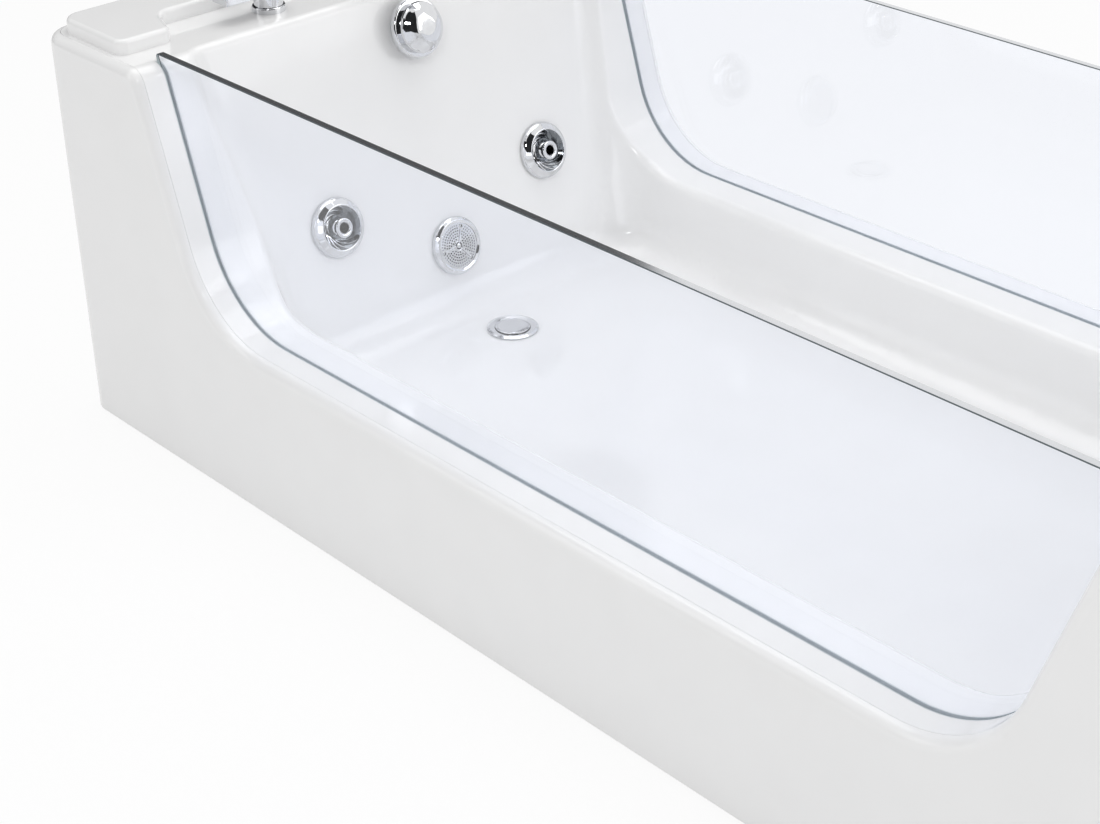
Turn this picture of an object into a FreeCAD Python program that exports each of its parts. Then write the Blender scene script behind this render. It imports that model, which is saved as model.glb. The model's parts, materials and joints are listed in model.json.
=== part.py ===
import FreeCAD, Part
import math
import os
from FreeCAD import Placement, Rotation, Vector

# Jetted bathtub with a glass panel in each long side. Millimetres, Z up.
# Origin: middle of the footprint, on the floor. X runs from the tap end to the backrest,
# Y from the near side to the far side.

# Overall
tub_length = 1800.0
tub_width = 850.0
half_length = tub_length / 2
half_width = tub_width / 2
ledge_height = 537.0        # flat top of the shell, where the taps stand
rim_rise = 19.0             # raised border above the ledge
acrylic = 6.0               # sheet thickness of shell and skirt
outer_corner = 40.0         # upright corners of the skirt
skirt_clearance = 3.0       # skirt's lower edge above the floor
lip_radius = 13.0           # roll from the skirt into the reveals and the ledge
seam = 0.4                  # gap between skirt and shell

# Side openings, the same in both long sides
sill_height = 224.0
opening_margin = 312.0      # from the skirt's end to the sill's corner before rounding
opening_length = tub_length - 2 * opening_margin
jamb_slope = 0.319
opening_corner = 145.0
jamb_top_round = 24.0

# Well
floor_height = 114.0
side_deck = 109.0           # from the skirt's face to the well, at sill height
tap_deck = 292.0
back_deck = 300.0
well_width = tub_width - 2 * side_deck
side_slope = 0.10
tap_wall_reach = half_length - tap_deck
tap_wall_slope = 0.30
back_wall_reach = half_length - back_deck
back_wall_slope = 0.40
well_corner_floor = 90.0
well_corner_ledge = 36.0
floor_fillet = 55.0
well_edge_round = 14.0

# Raised border
rim_inset = 20.0            # from the skirt's outer face
rim_depth = 157.0           # from the skirt's end to where the border stops beside the openings
rim_front = half_length - rim_depth
rim_front_corner = 14.0
rim_outer_corner = 26.0
rim_edge_round = 6.0
tray_inset = 97.0           # from the skirt's end to the tray behind the taps
tray_side = 95.0
tray_taper = 22.0
tray_back = half_length - tray_inset
tray_front_half = half_width - tray_side
tray_back_half = tray_front_half - tray_taper
tray_corner = 28.0

# Glass panels
glass_thickness = 10.0
glass_inset = 49.0          # from the skirt's face to the middle of the glass
glass_plane = half_width - glass_inset
glass_top = 547.0
glass_edge_round = 4.0
glass_bite = 11.0           # how far its edge sits in the channel
channel_depth = 14.0
seal_wall = 1.4             # between glass and channel wall
seal_clearance = 0.1

# Wall fittings for the jets and the suction
hole_radius = 27.0
barrel_radius = 26.5
barrel_bore = 21.0
barrel_back = 32.0
flange_radius = 33.0
flange_thickness = 3.0
gasket_thickness = 1.5
body_radius = 34.0
body_depth = 50.0           # behind the sheet's inner face
collar_width = 4.0
collar_depth = 6.0
body_wall = 4.0
thread_clearance = 0.3
running_clearance = 0.3

# Jets
jet_inset = 136.0           # from the well's side at sill height to the jet's axis
jet_side = well_width / 2 - jet_inset
jet_height = 277.0
face_radius = 40.0
jet_proud = 14.5
crest_radius = 30.0
cup_foot = 16.5             # the cup narrows to this at its floor
cup_floor = 1.5
ring_skin = 3.0
ball_radius = 15.0
nozzle_radius = 11.5
nozzle_bore = 7.3
nozzle_proud = 17.5
sleeve_wall = 2.7
sleeve_back = 18.0
water_spigot = 12.0
water_spigot_bore = 9.0
water_line_reach = 101.0    # from the wall's face back to the water line
air_spigot = 5.0
air_spigot_bore = 3.5
air_line_depth = 38.0
air_line_reach = 47.0       # from the jet's axis up to the air line

# Suction
suction_height = 199.0
grille_thickness = 2.5
grille_radius = 31.4
grille_hole = 1.7
grille_rings = (10.0, 15.5, 21.0, 26.5)
grille_ring_step = 6.6      # distance between holes along a ring
spoke_angle = 37.0          # first spoke, from the way down the wall
screw_circle = 27.0
screw_head = 2.8
screw_shank = 1.6
grille_hub = 5.5
seat_step = 1.5             # the grille's seat above the fitting's flange
suction_spigot = 20.0
suction_spigot_bore = 16.5
suction_spigot_depth = 53.0
suction_body_depth = 75.0
spoke_count = 3

# Overflow
overflow_drop = 51.0         # from the ledge down to the knob's axis
overflow_height = ledge_height - overflow_drop
overflow_hole = 24.0
overflow_barrel = 23.5
overflow_bore = 18.0
knob_radius = 40.0
knob_gap = 16.0             # water way between wall and knob
knob_rim = 8.0
knob_rim_top = knob_gap + knob_rim
knob_dome = 34.0            # radius of the dome that stands on the rim
knob_shoulder = 33.0
knob_flat = 20.0
knob_top = 45.0
knob_skin = 3.0
spindle_radius = 6.0
spindle_clearance = 0.05
spindle_end = 37.0          # behind the wall's face
overflow_barrel_back = 19.0
overflow_spigot_depth = 33.0
bush_wall = 3.0
bush_back = 14.0
overflow_pipe_radius = 18.0
overflow_pipe_bore = 15.0
overflow_pipe_inset = 190.0
overflow_pipe_side = overflow_pipe_inset - half_width
overflow_pipe_low = 42.0
overflow_cross_drop = 101.0
overflow_cross_height = overflow_height - overflow_cross_drop
cable_radius = 2.5
cable_bend = 30.0
cable_gap = 0.4

# Drain
drain_inset = 122.0         # from the tap wall at sill height
drain_x = -tap_wall_reach + drain_inset
drain_hole = 28.0
drain_flange_radius = 35.0
drain_barrel = 27.0
drain_bore = 22.0
drain_barrel_back = 34.0
plug_radius = 23.4
plug_crown = 1.9
plug_stem = 4.0
stem_end = 32.0
trap_radius = 46.0
trap_wall = 3.0
trap_low = 13.0
trap_top = 66.0
trap_tail = 25.0
trap_dip = 16.0
trap_inlet = 28.0
outlet_radius = 20.0
outlet_bore = 17.0
outlet_height = 34.0
outlet_collar = 23.5
outlet_shoulder = 56.0      # where the spigot for the waste pipe starts
outlet_end = 95.0
waste_notch = 30.0          # half the gap in the far skirt for the waste pipe

# Taps on the ledge
tap_inset = 145.0
tap_x = -half_length + tap_inset
tap_side = 172.0
tap_hole = 11.0
shank_radius = 10.5
rosette_radius = 22.0
rosette_height = 8.0
hub_radius = 19.0
hub_height = 17.0
lever_reach = 75.0
lever_tail = 21.0
lever_width = 33.0
lever_thickness = 13.0
valve_radius = 15.0
valve_drop = 82.0
valve_low = ledge_height - valve_drop
inlet_radius = 9.5
inlet_bore = 7.0
inlet_length = 30.0
nut_radius = 18.0
nut_height = 12.0
spout_reach = 118.0
spout_height = 104.0
spout_width = 48.0
spout_thickness = 22.0
filler_drop = 52.0
filler_height = ledge_height - filler_drop
filler_radius = 8.0
filler_bore = 6.0

# Start button and air control, on the raised border
control_inset = 57.0
control_x = -half_length + control_inset
button_y = 180.0
air_y = 250.0
control_hole = 13.5
bezel_radius = 20.0
bezel_height = 4.0
bezel_bore = 13.0
button_proud = 3.5
button_travel = 3.0
cup_depth = 30.0
knob_grip_radius = 17.0
knob_grip_height = 13.0
knob_flutes = 8
air_body_drop = 66.0         # from the raised border down to the spigot's end

# Pump
pump_inset = 115.0
pump_x = -half_length + pump_inset
pump_z = 162.0
motor_radius = 58.0
motor_fin = 6.0
motor_fins = 14
motor_start = -150.0
terminal_half = 34.0
terminal_rise = 24.0
cradle_half = 44.0
cradle_start = 26.0
cradle_end = 16.0
motor_end = 13.0
volute_radius = 66.0
volute_wall = 6.0
volute_end = 75.0
impeller_gap = 6.0
impeller_radius = 50.0
impeller_plate = 4.0
impeller_blades = 6
blade_arc = 32.0
blade_offset = 24.0
blade_thickness = 3.0
blade_height = 18.0
shaft_radius = 8.0
shaft_clearance = 0.05
shaft_reach = 64.0
shaft_socket = 70.0
pump_spigot = 20.0
pump_spigot_bore = 16.5
pump_outlet_y = 43.0
pump_outlet_top = 230.0
pump_inlet_length = 15.0

# Pipes
pipe_wall = 2.4
water_line_bore = 16.0
water_line_end = 34.0        # past the last jet
air_line_end = 18.0
socket_depth = 14.0
pipe_bend = 45.0
air_pipe_radius = 9.5
air_feed_radius = 8.0       # from the air control
air_bend = 26.0
socket_clearance = 0.2
side_run_inset = 50.0
side_run_y = half_width - side_run_inset
side_run_z = 150.0
air_run_gap = 18.3          # from the shell's side
air_run_z = 186.0

# Frame and feet
tube = 30.0
tube_wall = 2.0
rail_inset = 55.0
post_inset = 58.0
rail_y = half_width - rail_inset
rail_top = 92.0
post_x = half_length - post_inset
drain_cross_gap = 66.0
middle_cross_x = 40.0
back_cross_inset = 130.0
cross_places = (drain_x + drain_cross_gap, middle_cross_x, back_wall_reach - back_cross_inset)
pump_cross_x = -tap_wall_reach - 22.0
pump_plate = 5.0
board_thickness = 16.0
board_overhang = 25.0       # past the first and the last cross bar's middle
board_inset = 80.0
board_half = well_width / 2 - board_inset
foot_places = (-post_x, -post_x / 3, post_x / 3, post_x)
pad_radius = 28.0
pad_height = 10.0
stem_radius = 6.0
foot_nut_height = 8.0
foot_nut_radius = 11.0

# Access panel in the tap end
access_half = 250.0
access_low = 70.0
access_high = 400.0
access_corner = 18.0
access_gap = 1.0
access_flange = 24.0
access_frame_thickness = 8.0
vent_slots = 9
vent_slot_length = 120.0
vent_slot_width = 5.0
vent_pitch = 12.0
panel_screw = 2.5
panel_screw_head = 5.0
panel_screw_sink = 2.5
panel_screw_length = 18.0

# Control box
box_inset = 88.0
box_length = 100.0
box_x = (-half_length + box_inset, -half_length + box_inset + box_length)
box_z = (300.0, 420.0)
box_depth = 62.0
box_corner = 6.0
gland_radius = 8.0
gland_length = 18.0

rim_height = ledge_height + rim_rise
air_body_low = rim_height - air_body_drop
head_room = 44.0            # cutting shapes reach this far above the border
open_top = rim_height + head_room
tap_tilt = math.degrees(math.atan(tap_wall_slope))
back_tilt = math.degrees(math.atan(back_wall_slope))
deck_under = ledge_height - acrylic
rim_under = rim_height - acrylic
floor_under = floor_height - acrylic

nodes = {}


# Outlines and turned shapes

def plan(z):
    return lambda u, v: Vector(u, v, z)


def elevation(y):
    return lambda u, v: Vector(u, y, v)


def outline(corners, place):
    """Closed wire through corners (u, v, radius), each rounded by its radius."""
    spots = [Vector(u, v, 0) for u, v, radius in corners]
    edges = []
    ends = []
    for index, (u, v, radius) in enumerate(corners):
        spot = spots[index]
        if radius <= 0:
            ends.append((spot, None, spot))
            continue
        back = (spots[index - 1] - spot).normalize()
        ahead = (spots[(index + 1) % len(spots)] - spot).normalize()
        half = back.getAngle(ahead) / 2
        bisector = (back + ahead).normalize()
        run = radius / math.tan(half)
        middle = spot + bisector * (radius / math.sin(half) - radius)
        ends.append((spot + back * run, middle, spot + ahead * run))
    for index, (start, middle, end) in enumerate(ends):
        if middle is not None:
            arc = [place(p.x, p.y) for p in (start, middle, end)]
            edges.append(Part.Arc(*arc).toShape())
        follow = ends[(index + 1) % len(ends)][0]
        if end.distanceToPoint(follow) > 1e-6:
            edges.append(Part.LineSegment(place(end.x, end.y), place(follow.x, follow.y)).toShape())
    return Part.Wire(edges)


def slab(corners, z0, z1):
    """Plan outline raised from z0 to z1."""
    return Part.Face(outline(corners, plan(z0))).extrude(Vector(0, 0, z1 - z0))


def across(corners, y0, y1):
    """Side-view outline drawn across the tub from y0 to y1."""
    return Part.Face(outline(corners, elevation(y0))).extrude(Vector(0, y1 - y0, 0))


def turned(*corners):
    """Solid turned about Z from (radius, height, rounding) corners."""
    face = Part.Face(outline([(c + (0,))[:3] for c in corners], elevation(0)))
    return face.revolve(Vector(0, 0, 0), Vector(0, 0, 1), 360)


def disc(radius, z0, z1, centre=(0, 0)):
    return Part.makeCylinder(radius, z1 - z0, Vector(centre[0], centre[1], z0))


def ring(outer, inner, z0, z1, centre=(0, 0)):
    return disc(outer, z0, z1, centre).cut(disc(inner, z0 - 1, z1 + 1, centre))


def rod(radius, start, end):
    run = end - start
    return Part.makeCylinder(radius, run.Length, start, run)


def box(x, y, z):
    return Part.makeBox(x[1] - x[0], y[1] - y[0], z[1] - z[0], Vector(x[0], y[0], z[0]))


def rounded_box(half_x, half_y, z0, z1, radius):
    corners = [(-half_x, -half_y, radius), (half_x, -half_y, radius),
               (half_x, half_y, radius), (-half_x, half_y, radius)]
    return slab(corners, z0, z1)


def fused(shapes):
    return shapes[0].multiFuse(shapes[1:]) if len(shapes) > 1 else shapes[0]


def placed(shape, placement):
    copy = shape.copy()
    copy.Placement = placement.multiply(copy.Placement)
    return copy


def group(shapes):
    return Part.makeCompound(shapes)


def hex_nut(radius, bore, z0, z1, centre):
    corners = []
    for turn in range(6):
        angle = math.radians(60 * turn)
        corners.append((centre[0] + radius * math.cos(angle), centre[1] + radius * math.sin(angle), 0))
    return slab(corners, z0, z1).cut(disc(bore, z0 - 1, z1 + 1, centre))


def spokes(reach, half_wide, z0, z1, first=0.0):
    """Flat arms from the axis out to reach, evenly spread."""
    arms = []
    for turn in range(spoke_count):
        arm = box((0, reach), (-half_wide, half_wide), (z0, z1))
        arm.rotate(Vector(0, 0, 0), Vector(0, 0, 1), first + 360.0 * turn / spoke_count)
        arms.append(arm)
    return arms


def shared_edges(shape, first, second):
    """Edges of a shape that lie on the skins of two other shapes."""
    found = []
    for edge in shape.Edges:
        low, high = edge.ParameterRange
        spots = [edge.valueAt(low + (high - low) * share) for share in (0.2, 0.5, 0.8)]
        marks = [Part.Vertex(spot) for spot in spots]
        skins = (first.Shells[0], second.Shells[0])
        if all(skin.distToShape(mark)[0] < 1e-3 for skin in skins for mark in marks):
            found.append(edge)
    return found


def edges_at_height(shape, z):
    return [e for e in shape.Edges if abs(e.BoundBox.ZMin - z) < 1e-4 and abs(e.BoundBox.ZMax - z) < 1e-4]


# The tub's own surfaces, each grown outwards from the bather's side

def tap_wall_x(z, grow=0.0):
    return -tap_wall_reach - tap_wall_slope * (z - sill_height) - grow * math.hypot(1, tap_wall_slope)


def back_wall_x(z, grow=0.0):
    return back_wall_reach + back_wall_slope * (z - sill_height) + grow * math.hypot(1, back_wall_slope)


def side_wall_y(z, grow=0.0):
    return well_width / 2 + side_slope * (z - sill_height) + grow * math.hypot(1, side_slope)


def jamb_x(z, grow=0.0):
    return opening_length / 2 + jamb_slope * (z - sill_height) + grow * math.hypot(1, jamb_slope)


def well_section(z, grow):
    share = (z - floor_height) / (ledge_height - floor_height)
    radius = well_corner_floor + share * (well_corner_ledge - well_corner_floor) + grow
    near, far = -side_wall_y(z, grow), side_wall_y(z, grow)
    tap, back = tap_wall_x(z, grow), back_wall_x(z, grow)
    corners = [(tap, near, radius), (back, near, radius), (back, far, radius), (tap, far, radius)]
    return outline(corners, plan(z))


def well(grow):
    return Part.makeLoft([well_section(floor_height - grow, grow), well_section(open_top, grow)], True, True)


def air_above(grow):
    """All that is open above the ledge and through the side openings."""
    far = tub_length
    ledge, sill = ledge_height - grow, sill_height - grow
    top, low = jamb_x(ledge, grow), jamb_x(sill, grow)
    over, under = jamb_top_round - grow, opening_corner + grow
    corners = [(-far, open_top, 0), (-far, ledge, 0), (-top, ledge, over), (-low, sill, under),
               (low, sill, under), (top, ledge, over), (far, ledge, 0), (far, open_top, 0)]
    return across(corners, -tub_width, tub_width)


def opening_shape(grow, top, y0, y1, top_round=0.0):
    """Side opening without its ledge, as the glass and its channel follow it."""
    low, high = jamb_x(sill_height - grow, grow), jamb_x(top, grow)
    under = opening_corner + grow
    corners = [(-high, top, top_round), (-low, sill_height - grow, under),
               (low, sill_height - grow, under), (high, top, top_round)]
    return across(corners, y0, y1)


def shell_block(grow):
    """Block with the well and the openings cut in, as bounded by the grown surfaces."""
    spread = lip_radius + seam / 2 if grow == 0 else -tub_width
    low = skirt_clearance if grow == 0 else -tub_width
    block = rounded_box(half_length - spread, half_width - spread, low, open_top, outer_corner - lip_radius)
    air, hollow = air_above(grow), well(grow)
    block = block.cut(air).cut(hollow)
    block = block.makeFillet(well_edge_round - grow, shared_edges(block, air, hollow))
    return block.makeFillet(floor_fillet + grow, edges_at_height(block, floor_height - grow))


def tap_border(grow):
    end, side = half_length - rim_inset - grow, half_width - rim_inset - grow
    front, back = rim_front + grow, tray_back + grow
    outer, nose, inner = rim_outer_corner - grow, rim_front_corner - grow, tray_corner + grow
    shoulder, deep = tray_front_half + grow, tray_back_half + grow
    return [(-end, -side, outer), (-front, -side, nose), (-front, -shoulder, nose), (-back, -deep, inner),
            (-back, deep, inner), (-front, shoulder, nose), (-front, side, nose), (-end, side, outer)]


def back_border(grow):
    end, side, front = half_length - rim_inset - grow, half_width - rim_inset - grow, rim_front + grow
    outer, nose = rim_outer_corner - grow, rim_front_corner - grow
    return [(front, -side, nose), (end, -side, outer), (end, side, outer), (front, side, nose)]


def border(corners, grow, low):
    top = rim_height - grow
    raised = slab(corners, low, top)
    if grow == 0:
        raised = raised.makeFillet(rim_edge_round, edges_at_height(raised, top))
    return raised


def on_tap_wall(y, z):
    return Placement(Vector(tap_wall_x(z), y, z), Rotation(Vector(0, 1, 0), 90 - tap_tilt))


def on_back_wall(y, z):
    return Placement(Vector(back_wall_x(z), y, z), Rotation(Vector(0, 1, 0), back_tilt - 90))


jet_places = {
    "near_foot_jet": on_tap_wall(-jet_side, jet_height),
    "far_foot_jet": on_tap_wall(jet_side, jet_height),
    "near_back_jet": on_back_wall(-jet_side, jet_height),
    "far_back_jet": on_back_wall(jet_side, jet_height),
}
suction_place = on_tap_wall(0, suction_height)
overflow_place = on_tap_wall(0, overflow_height)
drain_place = Placement(Vector(drain_x, 0, floor_height), Rotation())
tap_places = [(tap_x, -tap_side), (tap_x, 0.0), (tap_x, tap_side)]


# Shell and skirt

def across_glass(side, half):
    return sorted((side * (glass_plane - half), side * (glass_plane + half)))


def tub_shell():
    joint = ledge_height - 2 * acrylic
    solid = shell_block(0)
    hollow = shell_block(acrylic)
    for corners in (tap_border, back_border):
        solid = solid.fuse(border(corners(0), 0, joint))
        hollow = hollow.fuse(border(corners(acrylic), acrylic, joint - acrylic))
    channel_half = glass_thickness / 2 + seal_wall
    for side in (-1, 1):
        bounds = across_glass(side, channel_half + acrylic)
        hollow = hollow.cut(opening_shape(channel_depth + acrylic, open_top, *bounds))
    shell = solid.cut(hollow)
    for side in (-1, 1):
        shell = shell.cut(opening_shape(channel_depth, open_top, *across_glass(side, channel_half)))
    drills = [placed(disc(hole_radius, -4 * acrylic, 4 * acrylic), place) for place in jet_places.values()]
    drills.append(placed(disc(hole_radius, -4 * acrylic, 4 * acrylic), suction_place))
    drills.append(placed(disc(overflow_hole, -4 * acrylic, 4 * acrylic), overflow_place))
    drills.append(placed(disc(drain_hole, -2 * acrylic, 2 * acrylic), drain_place))
    drills += [disc(tap_hole, deck_under - 1, ledge_height + 1, place) for place in tap_places]
    drills += [disc(control_hole, rim_under - 1, rim_height + 1, (control_x, y)) for y in (button_y, air_y)]
    return shell.cut(fused(drills))


def skirt_block(grow):
    low = skirt_clearance if grow == 0 else -tub_width
    block = rounded_box(half_length - grow, half_width - grow, low, open_top, outer_corner - grow)
    air = air_above(grow)
    cut = block.cut(air)
    return cut.makeFillet(lip_radius - grow, shared_edges(cut, air, block))


def access_outline(grow):
    half, low, high = access_half + grow, access_low - grow, access_high + grow
    radius = access_corner + grow
    return [(-half, low, radius), (half, low, radius), (half, high, radius), (-half, high, radius)]


def end_plate(corners, x0, x1):
    face = Part.Face(outline(corners, lambda u, v: Vector(x0, u, v)))
    return face.extrude(Vector(x1 - x0, 0, 0))


def skirt():
    spread = lip_radius - seam / 2
    half_x, half_y = half_length - spread, half_width - spread
    core = rounded_box(half_x, half_y, skirt_clearance - 1, open_top, outer_corner - spread)
    walls = skirt_block(0).cut(skirt_block(acrylic)).cut(core)
    inside, outside = half_width - 2 * lip_radius, half_width + 1
    span = (drain_x - waste_notch, drain_x + waste_notch)
    gap = box(span, (inside, outside), (skirt_clearance - 1, outlet_height))
    arch = rod(waste_notch, Vector(drain_x, inside, outlet_height), Vector(drain_x, outside, outlet_height))
    hatch = end_plate(access_outline(0), -half_length - 1, -half_length + 2 * lip_radius)
    return walls.cut(fused([gap, arch])).cut(hatch)


def access_panel():
    plate = end_plate(access_outline(-access_gap), -half_length, -half_length + acrylic)
    middle = (access_low + access_high) / 2
    first = middle - vent_pitch * (vent_slots - 1) / 2
    slots = []
    for index in range(vent_slots):
        z = first + index * vent_pitch
        half, wide = vent_slot_length / 2, vent_slot_width / 2
        end = 0.9 * wide
        corners = [(-half, z - wide, end), (half, z - wide, end),
                   (half, z + wide, end), (-half, z + wide, end)]
        slots.append(end_plate(corners, -half_length - 1, -half_length + 2 * acrylic))
    drills = [access_screw(y, z, socket_clearance) for y, z in access_screw_places()]
    return plate.cut(fused(slots)).cut(fused(drills))


def access_screw_places():
    inset = access_flange / 2
    return [(y, z) for y in (-access_half + inset, 0, access_half - inset)
            for z in (access_low + inset, access_high - inset)]


def access_screw(y, z, grow):
    """Countersunk screw, its head flush with the panel's face."""
    head, shank = panel_screw_head + grow, panel_screw + grow
    length = panel_screw_length
    shape = turned((0, 0), (head, 0), (shank, panel_screw_sink), (shank, length), (0, length))
    return placed(shape, Placement(Vector(-half_length, y, z), Rotation(Vector(0, 1, 0), 90)))


def access_frame():
    x0 = -half_length + acrylic
    x1 = x0 + access_frame_thickness
    frame = end_plate(access_outline(access_flange), x0, x1)
    frame = frame.cut(end_plate(access_outline(-access_flange), x0 - 1, x1 + 1))
    drills = [access_screw(y, z, socket_clearance) for y, z in access_screw_places()]
    return frame.cut(fused(drills))


def access_screws():
    return group([access_screw(y, z, 0.0) for y, z in access_screw_places()])


# Glass and its seals

def glass(side):
    bounds = across_glass(side, glass_thickness / 2)
    return opening_shape(glass_bite, glass_top, *bounds, glass_edge_round)


def glass_seal(side):
    half = glass_thickness / 2
    wide = across_glass(side, half + seal_wall - seal_clearance)
    slot = across_glass(side, half + seal_clearance)
    strip = opening_shape(channel_depth - seal_clearance, ledge_height, *wide)
    strip = strip.cut(opening_shape(glass_bite + seal_clearance, open_top, *slot))
    return strip.cut(air_above(0))


# Jets, in the wall's frame: Z points into the well, the sheet lies from 0 down

def wall_fitting():
    low = gasket_thickness
    return turned((barrel_bore, -barrel_back), (barrel_radius, -barrel_back), (barrel_radius, low),
                  (flange_radius, low), (flange_radius, low + flange_thickness, 1.0),
                  (barrel_bore, low + flange_thickness))


def wall_gasket():
    return ring(flange_radius - 1, hole_radius, 0, gasket_thickness)


def rear_cup(barrel, depth):
    """Cup behind the sheet, screwed onto a fitting's barrel by its collar."""
    bore = barrel + thread_clearance
    collar, shoulder = body_radius + collar_width, -acrylic - collar_depth
    inside = -depth + body_wall
    return turned((bore, -acrylic), (collar, -acrylic), (collar, shoulder),
                  (body_radius, shoulder - collar_width), (body_radius, -depth, collar_depth), (0, -depth),
                  (0, inside), (bore, inside))


def with_spigot(cup, radius, bore, depth, heading, reach):
    """Rear cup with a spigot to one side."""
    drop = Vector(0, 0, -depth)
    root, end = heading * (body_radius - 2 * body_wall), heading * reach
    cup = cup.fuse(rod(radius, root + drop, end + drop))
    return cup.cut(rod(bore, heading * body_wall + drop, end + heading + drop))


def jet_body(up):
    """Rear cup with a water spigot at the back and an air spigot on its upper side."""
    step = Vector(0, 0, 1)
    root, end = step * -body_depth, step * (10 - water_line_reach)
    cup = rear_cup(barrel_radius, body_depth).fuse(rod(water_spigot, root + step, end))
    cup = cup.cut(rod(water_spigot_bore, root + step * (body_wall + 1), end - step))
    air_end = air_line_reach - air_pipe_radius + pipe_wall
    return with_spigot(cup, air_spigot, air_spigot_bore, air_line_depth, Vector(up, 0, 0), air_end)


def jet_ring():
    """Chrome face: a domed ring that falls into a cup with a socket for the nozzle's ball."""
    lift = gasket_thickness + flange_thickness + running_clearance
    sleeve = barrel_bore - running_clearance
    bore, brim, web = sleeve - sleeve_wall, face_radius - ring_skin, cup_floor - ring_skin
    face = turned((nozzle_radius, cup_floor), (cup_foot, cup_floor, 4), (crest_radius, jet_proud, 2),
                  (face_radius, jet_proud / 2, 9), (face_radius, 1.2), (brim, 1.2), (brim, lift + 0.4, 2),
                  (sleeve, lift), (sleeve, -sleeve_back), (bore, -sleeve_back), (bore, web),
                  (nozzle_radius, web))
    return face.cut(Part.makeSphere(ball_radius + running_clearance))


def nozzle():
    ball = Part.makeSphere(ball_radius).common(disc(ball_radius, -0.7 * ball_radius, ball_radius))
    tip = turned((0, 0), (nozzle_radius - 0.6, 0), (nozzle_radius - 0.6, nozzle_proud - 5),
                 (nozzle_radius, nozzle_proud - 4), (nozzle_radius, nozzle_proud, 1.5), (0, nozzle_proud))
    return ball.fuse(tip).cut(disc(nozzle_bore, -ball_radius, nozzle_proud + 1))


# Suction

def suction_rim():
    """Chrome ring round the grille, with a step that the grille lies on."""
    lift = gasket_thickness + flange_thickness
    seat = lift + seat_step
    top = seat + grille_thickness
    inner, skirt_inner = screw_circle - screw_head, flange_radius + 2.5
    lodge = grille_radius + running_clearance
    rim = turned((inner, lift), (skirt_inner, lift), (skirt_inner, seam), (face_radius, seam),
                 (face_radius, top - 2, 4), (grille_radius + 4, top + 2, 2), (lodge, top + 0.6),
                 (lodge, seat), (inner, seat))
    return rim.cut(fused([disc(screw_shank + socket_clearance, 0, top, spot) for spot in screw_spots()]))


def suction_grille():
    """Flat disc with rings of holes, left whole along three spokes, and a small hub."""
    seat = gasket_thickness + flange_thickness + seat_step
    top = seat + grille_thickness
    plate = disc(grille_radius, seat, top)
    holes = []
    for radius in grille_rings:
        count = int(2 * math.pi * radius / grille_ring_step)
        for index in range(count):
            angle = 360.0 * (index + 0.5) / count
            share = 360.0 / spoke_count
            from_spoke = abs((angle - spoke_angle + share / 2) % share - share / 2)
            keep_off = screw_head + grille_hole if radius == grille_rings[-1] else 1.4 * grille_hole
            if math.radians(from_spoke) * radius < keep_off:
                continue
            centre = (radius * math.cos(math.radians(angle)), radius * math.sin(math.radians(angle)))
            holes.append(disc(grille_hole, seat - 1, top + 1, centre))
    plate = plate.cut(group(holes))
    hub = disc(grille_hub, top - 0.5, top + 1.2)
    arms = spokes(screw_circle - 1.2 * screw_head, 0.8, top - 0.5, top + 0.8, spoke_angle)
    plate = fused([plate, hub] + arms)
    drills = [disc(screw_shank + socket_clearance, seat - 1, top + 3, spot) for spot in screw_spots()]
    return plate.cut(fused(drills))


def screw_spots():
    angles = [math.radians(spoke_angle + 360.0 * turn / spoke_count) for turn in range(spoke_count)]
    return [(screw_circle * math.cos(angle), screw_circle * math.sin(angle)) for angle in angles]


def suction_screws():
    low = gasket_thickness + flange_thickness
    top = low + seat_step + grille_thickness
    screws = []
    for spot in screw_spots():
        head = disc(screw_head, top, top + 1.4, spot)
        screws.append(head.fuse(disc(screw_shank, low, top + 0.5, spot)))
    return group(screws)


# Overflow

def overflow_fitting():
    low, high = gasket_thickness, gasket_thickness + flange_thickness
    body = turned((overflow_bore, -overflow_barrel_back), (overflow_barrel, -overflow_barrel_back),
                  (overflow_barrel, low), (flange_radius - 3, low), (flange_radius - 3, high, 1.0),
                  (overflow_bore, high))
    bush = disc(spindle_radius + bush_wall, -bush_back, high)
    arms = spokes(overflow_bore + 2, bush_wall / 2, -bush_back, -2, 60)
    return fused([body, bush] + arms).cut(disc(spindle_radius + spindle_clearance, -bush_back - 1, high + 1))


def overflow_knob():
    """Domed cap on a rim, hollow behind, turning on its spindle."""
    brim, side, crown = knob_radius - knob_skin, knob_dome - knob_skin, knob_top - 2 * knob_skin
    return turned((0, knob_top), (knob_flat, knob_top, 24), (knob_dome, knob_shoulder, 8),
                  (knob_dome, knob_rim_top), (knob_radius, knob_rim_top, 2.5), (knob_radius, knob_gap, 1),
                  (brim, knob_gap, 1), (brim, knob_rim_top - knob_skin), (side, knob_rim_top - knob_skin),
                  (side, knob_shoulder - knob_skin, 4), (knob_flat - knob_skin, crown, 8),
                  (spindle_radius, crown), (spindle_radius, -spindle_end), (0, -spindle_end))


def overflow_body():
    outer, bore = overflow_pipe_bore - socket_clearance, overflow_pipe_bore - pipe_wall
    cup = rear_cup(overflow_barrel, body_depth)
    return with_spigot(cup, outer, bore, overflow_spigot_depth, Vector(1, 0, 0), body_radius + 22)


# Drain, in the floor's frame

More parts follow.
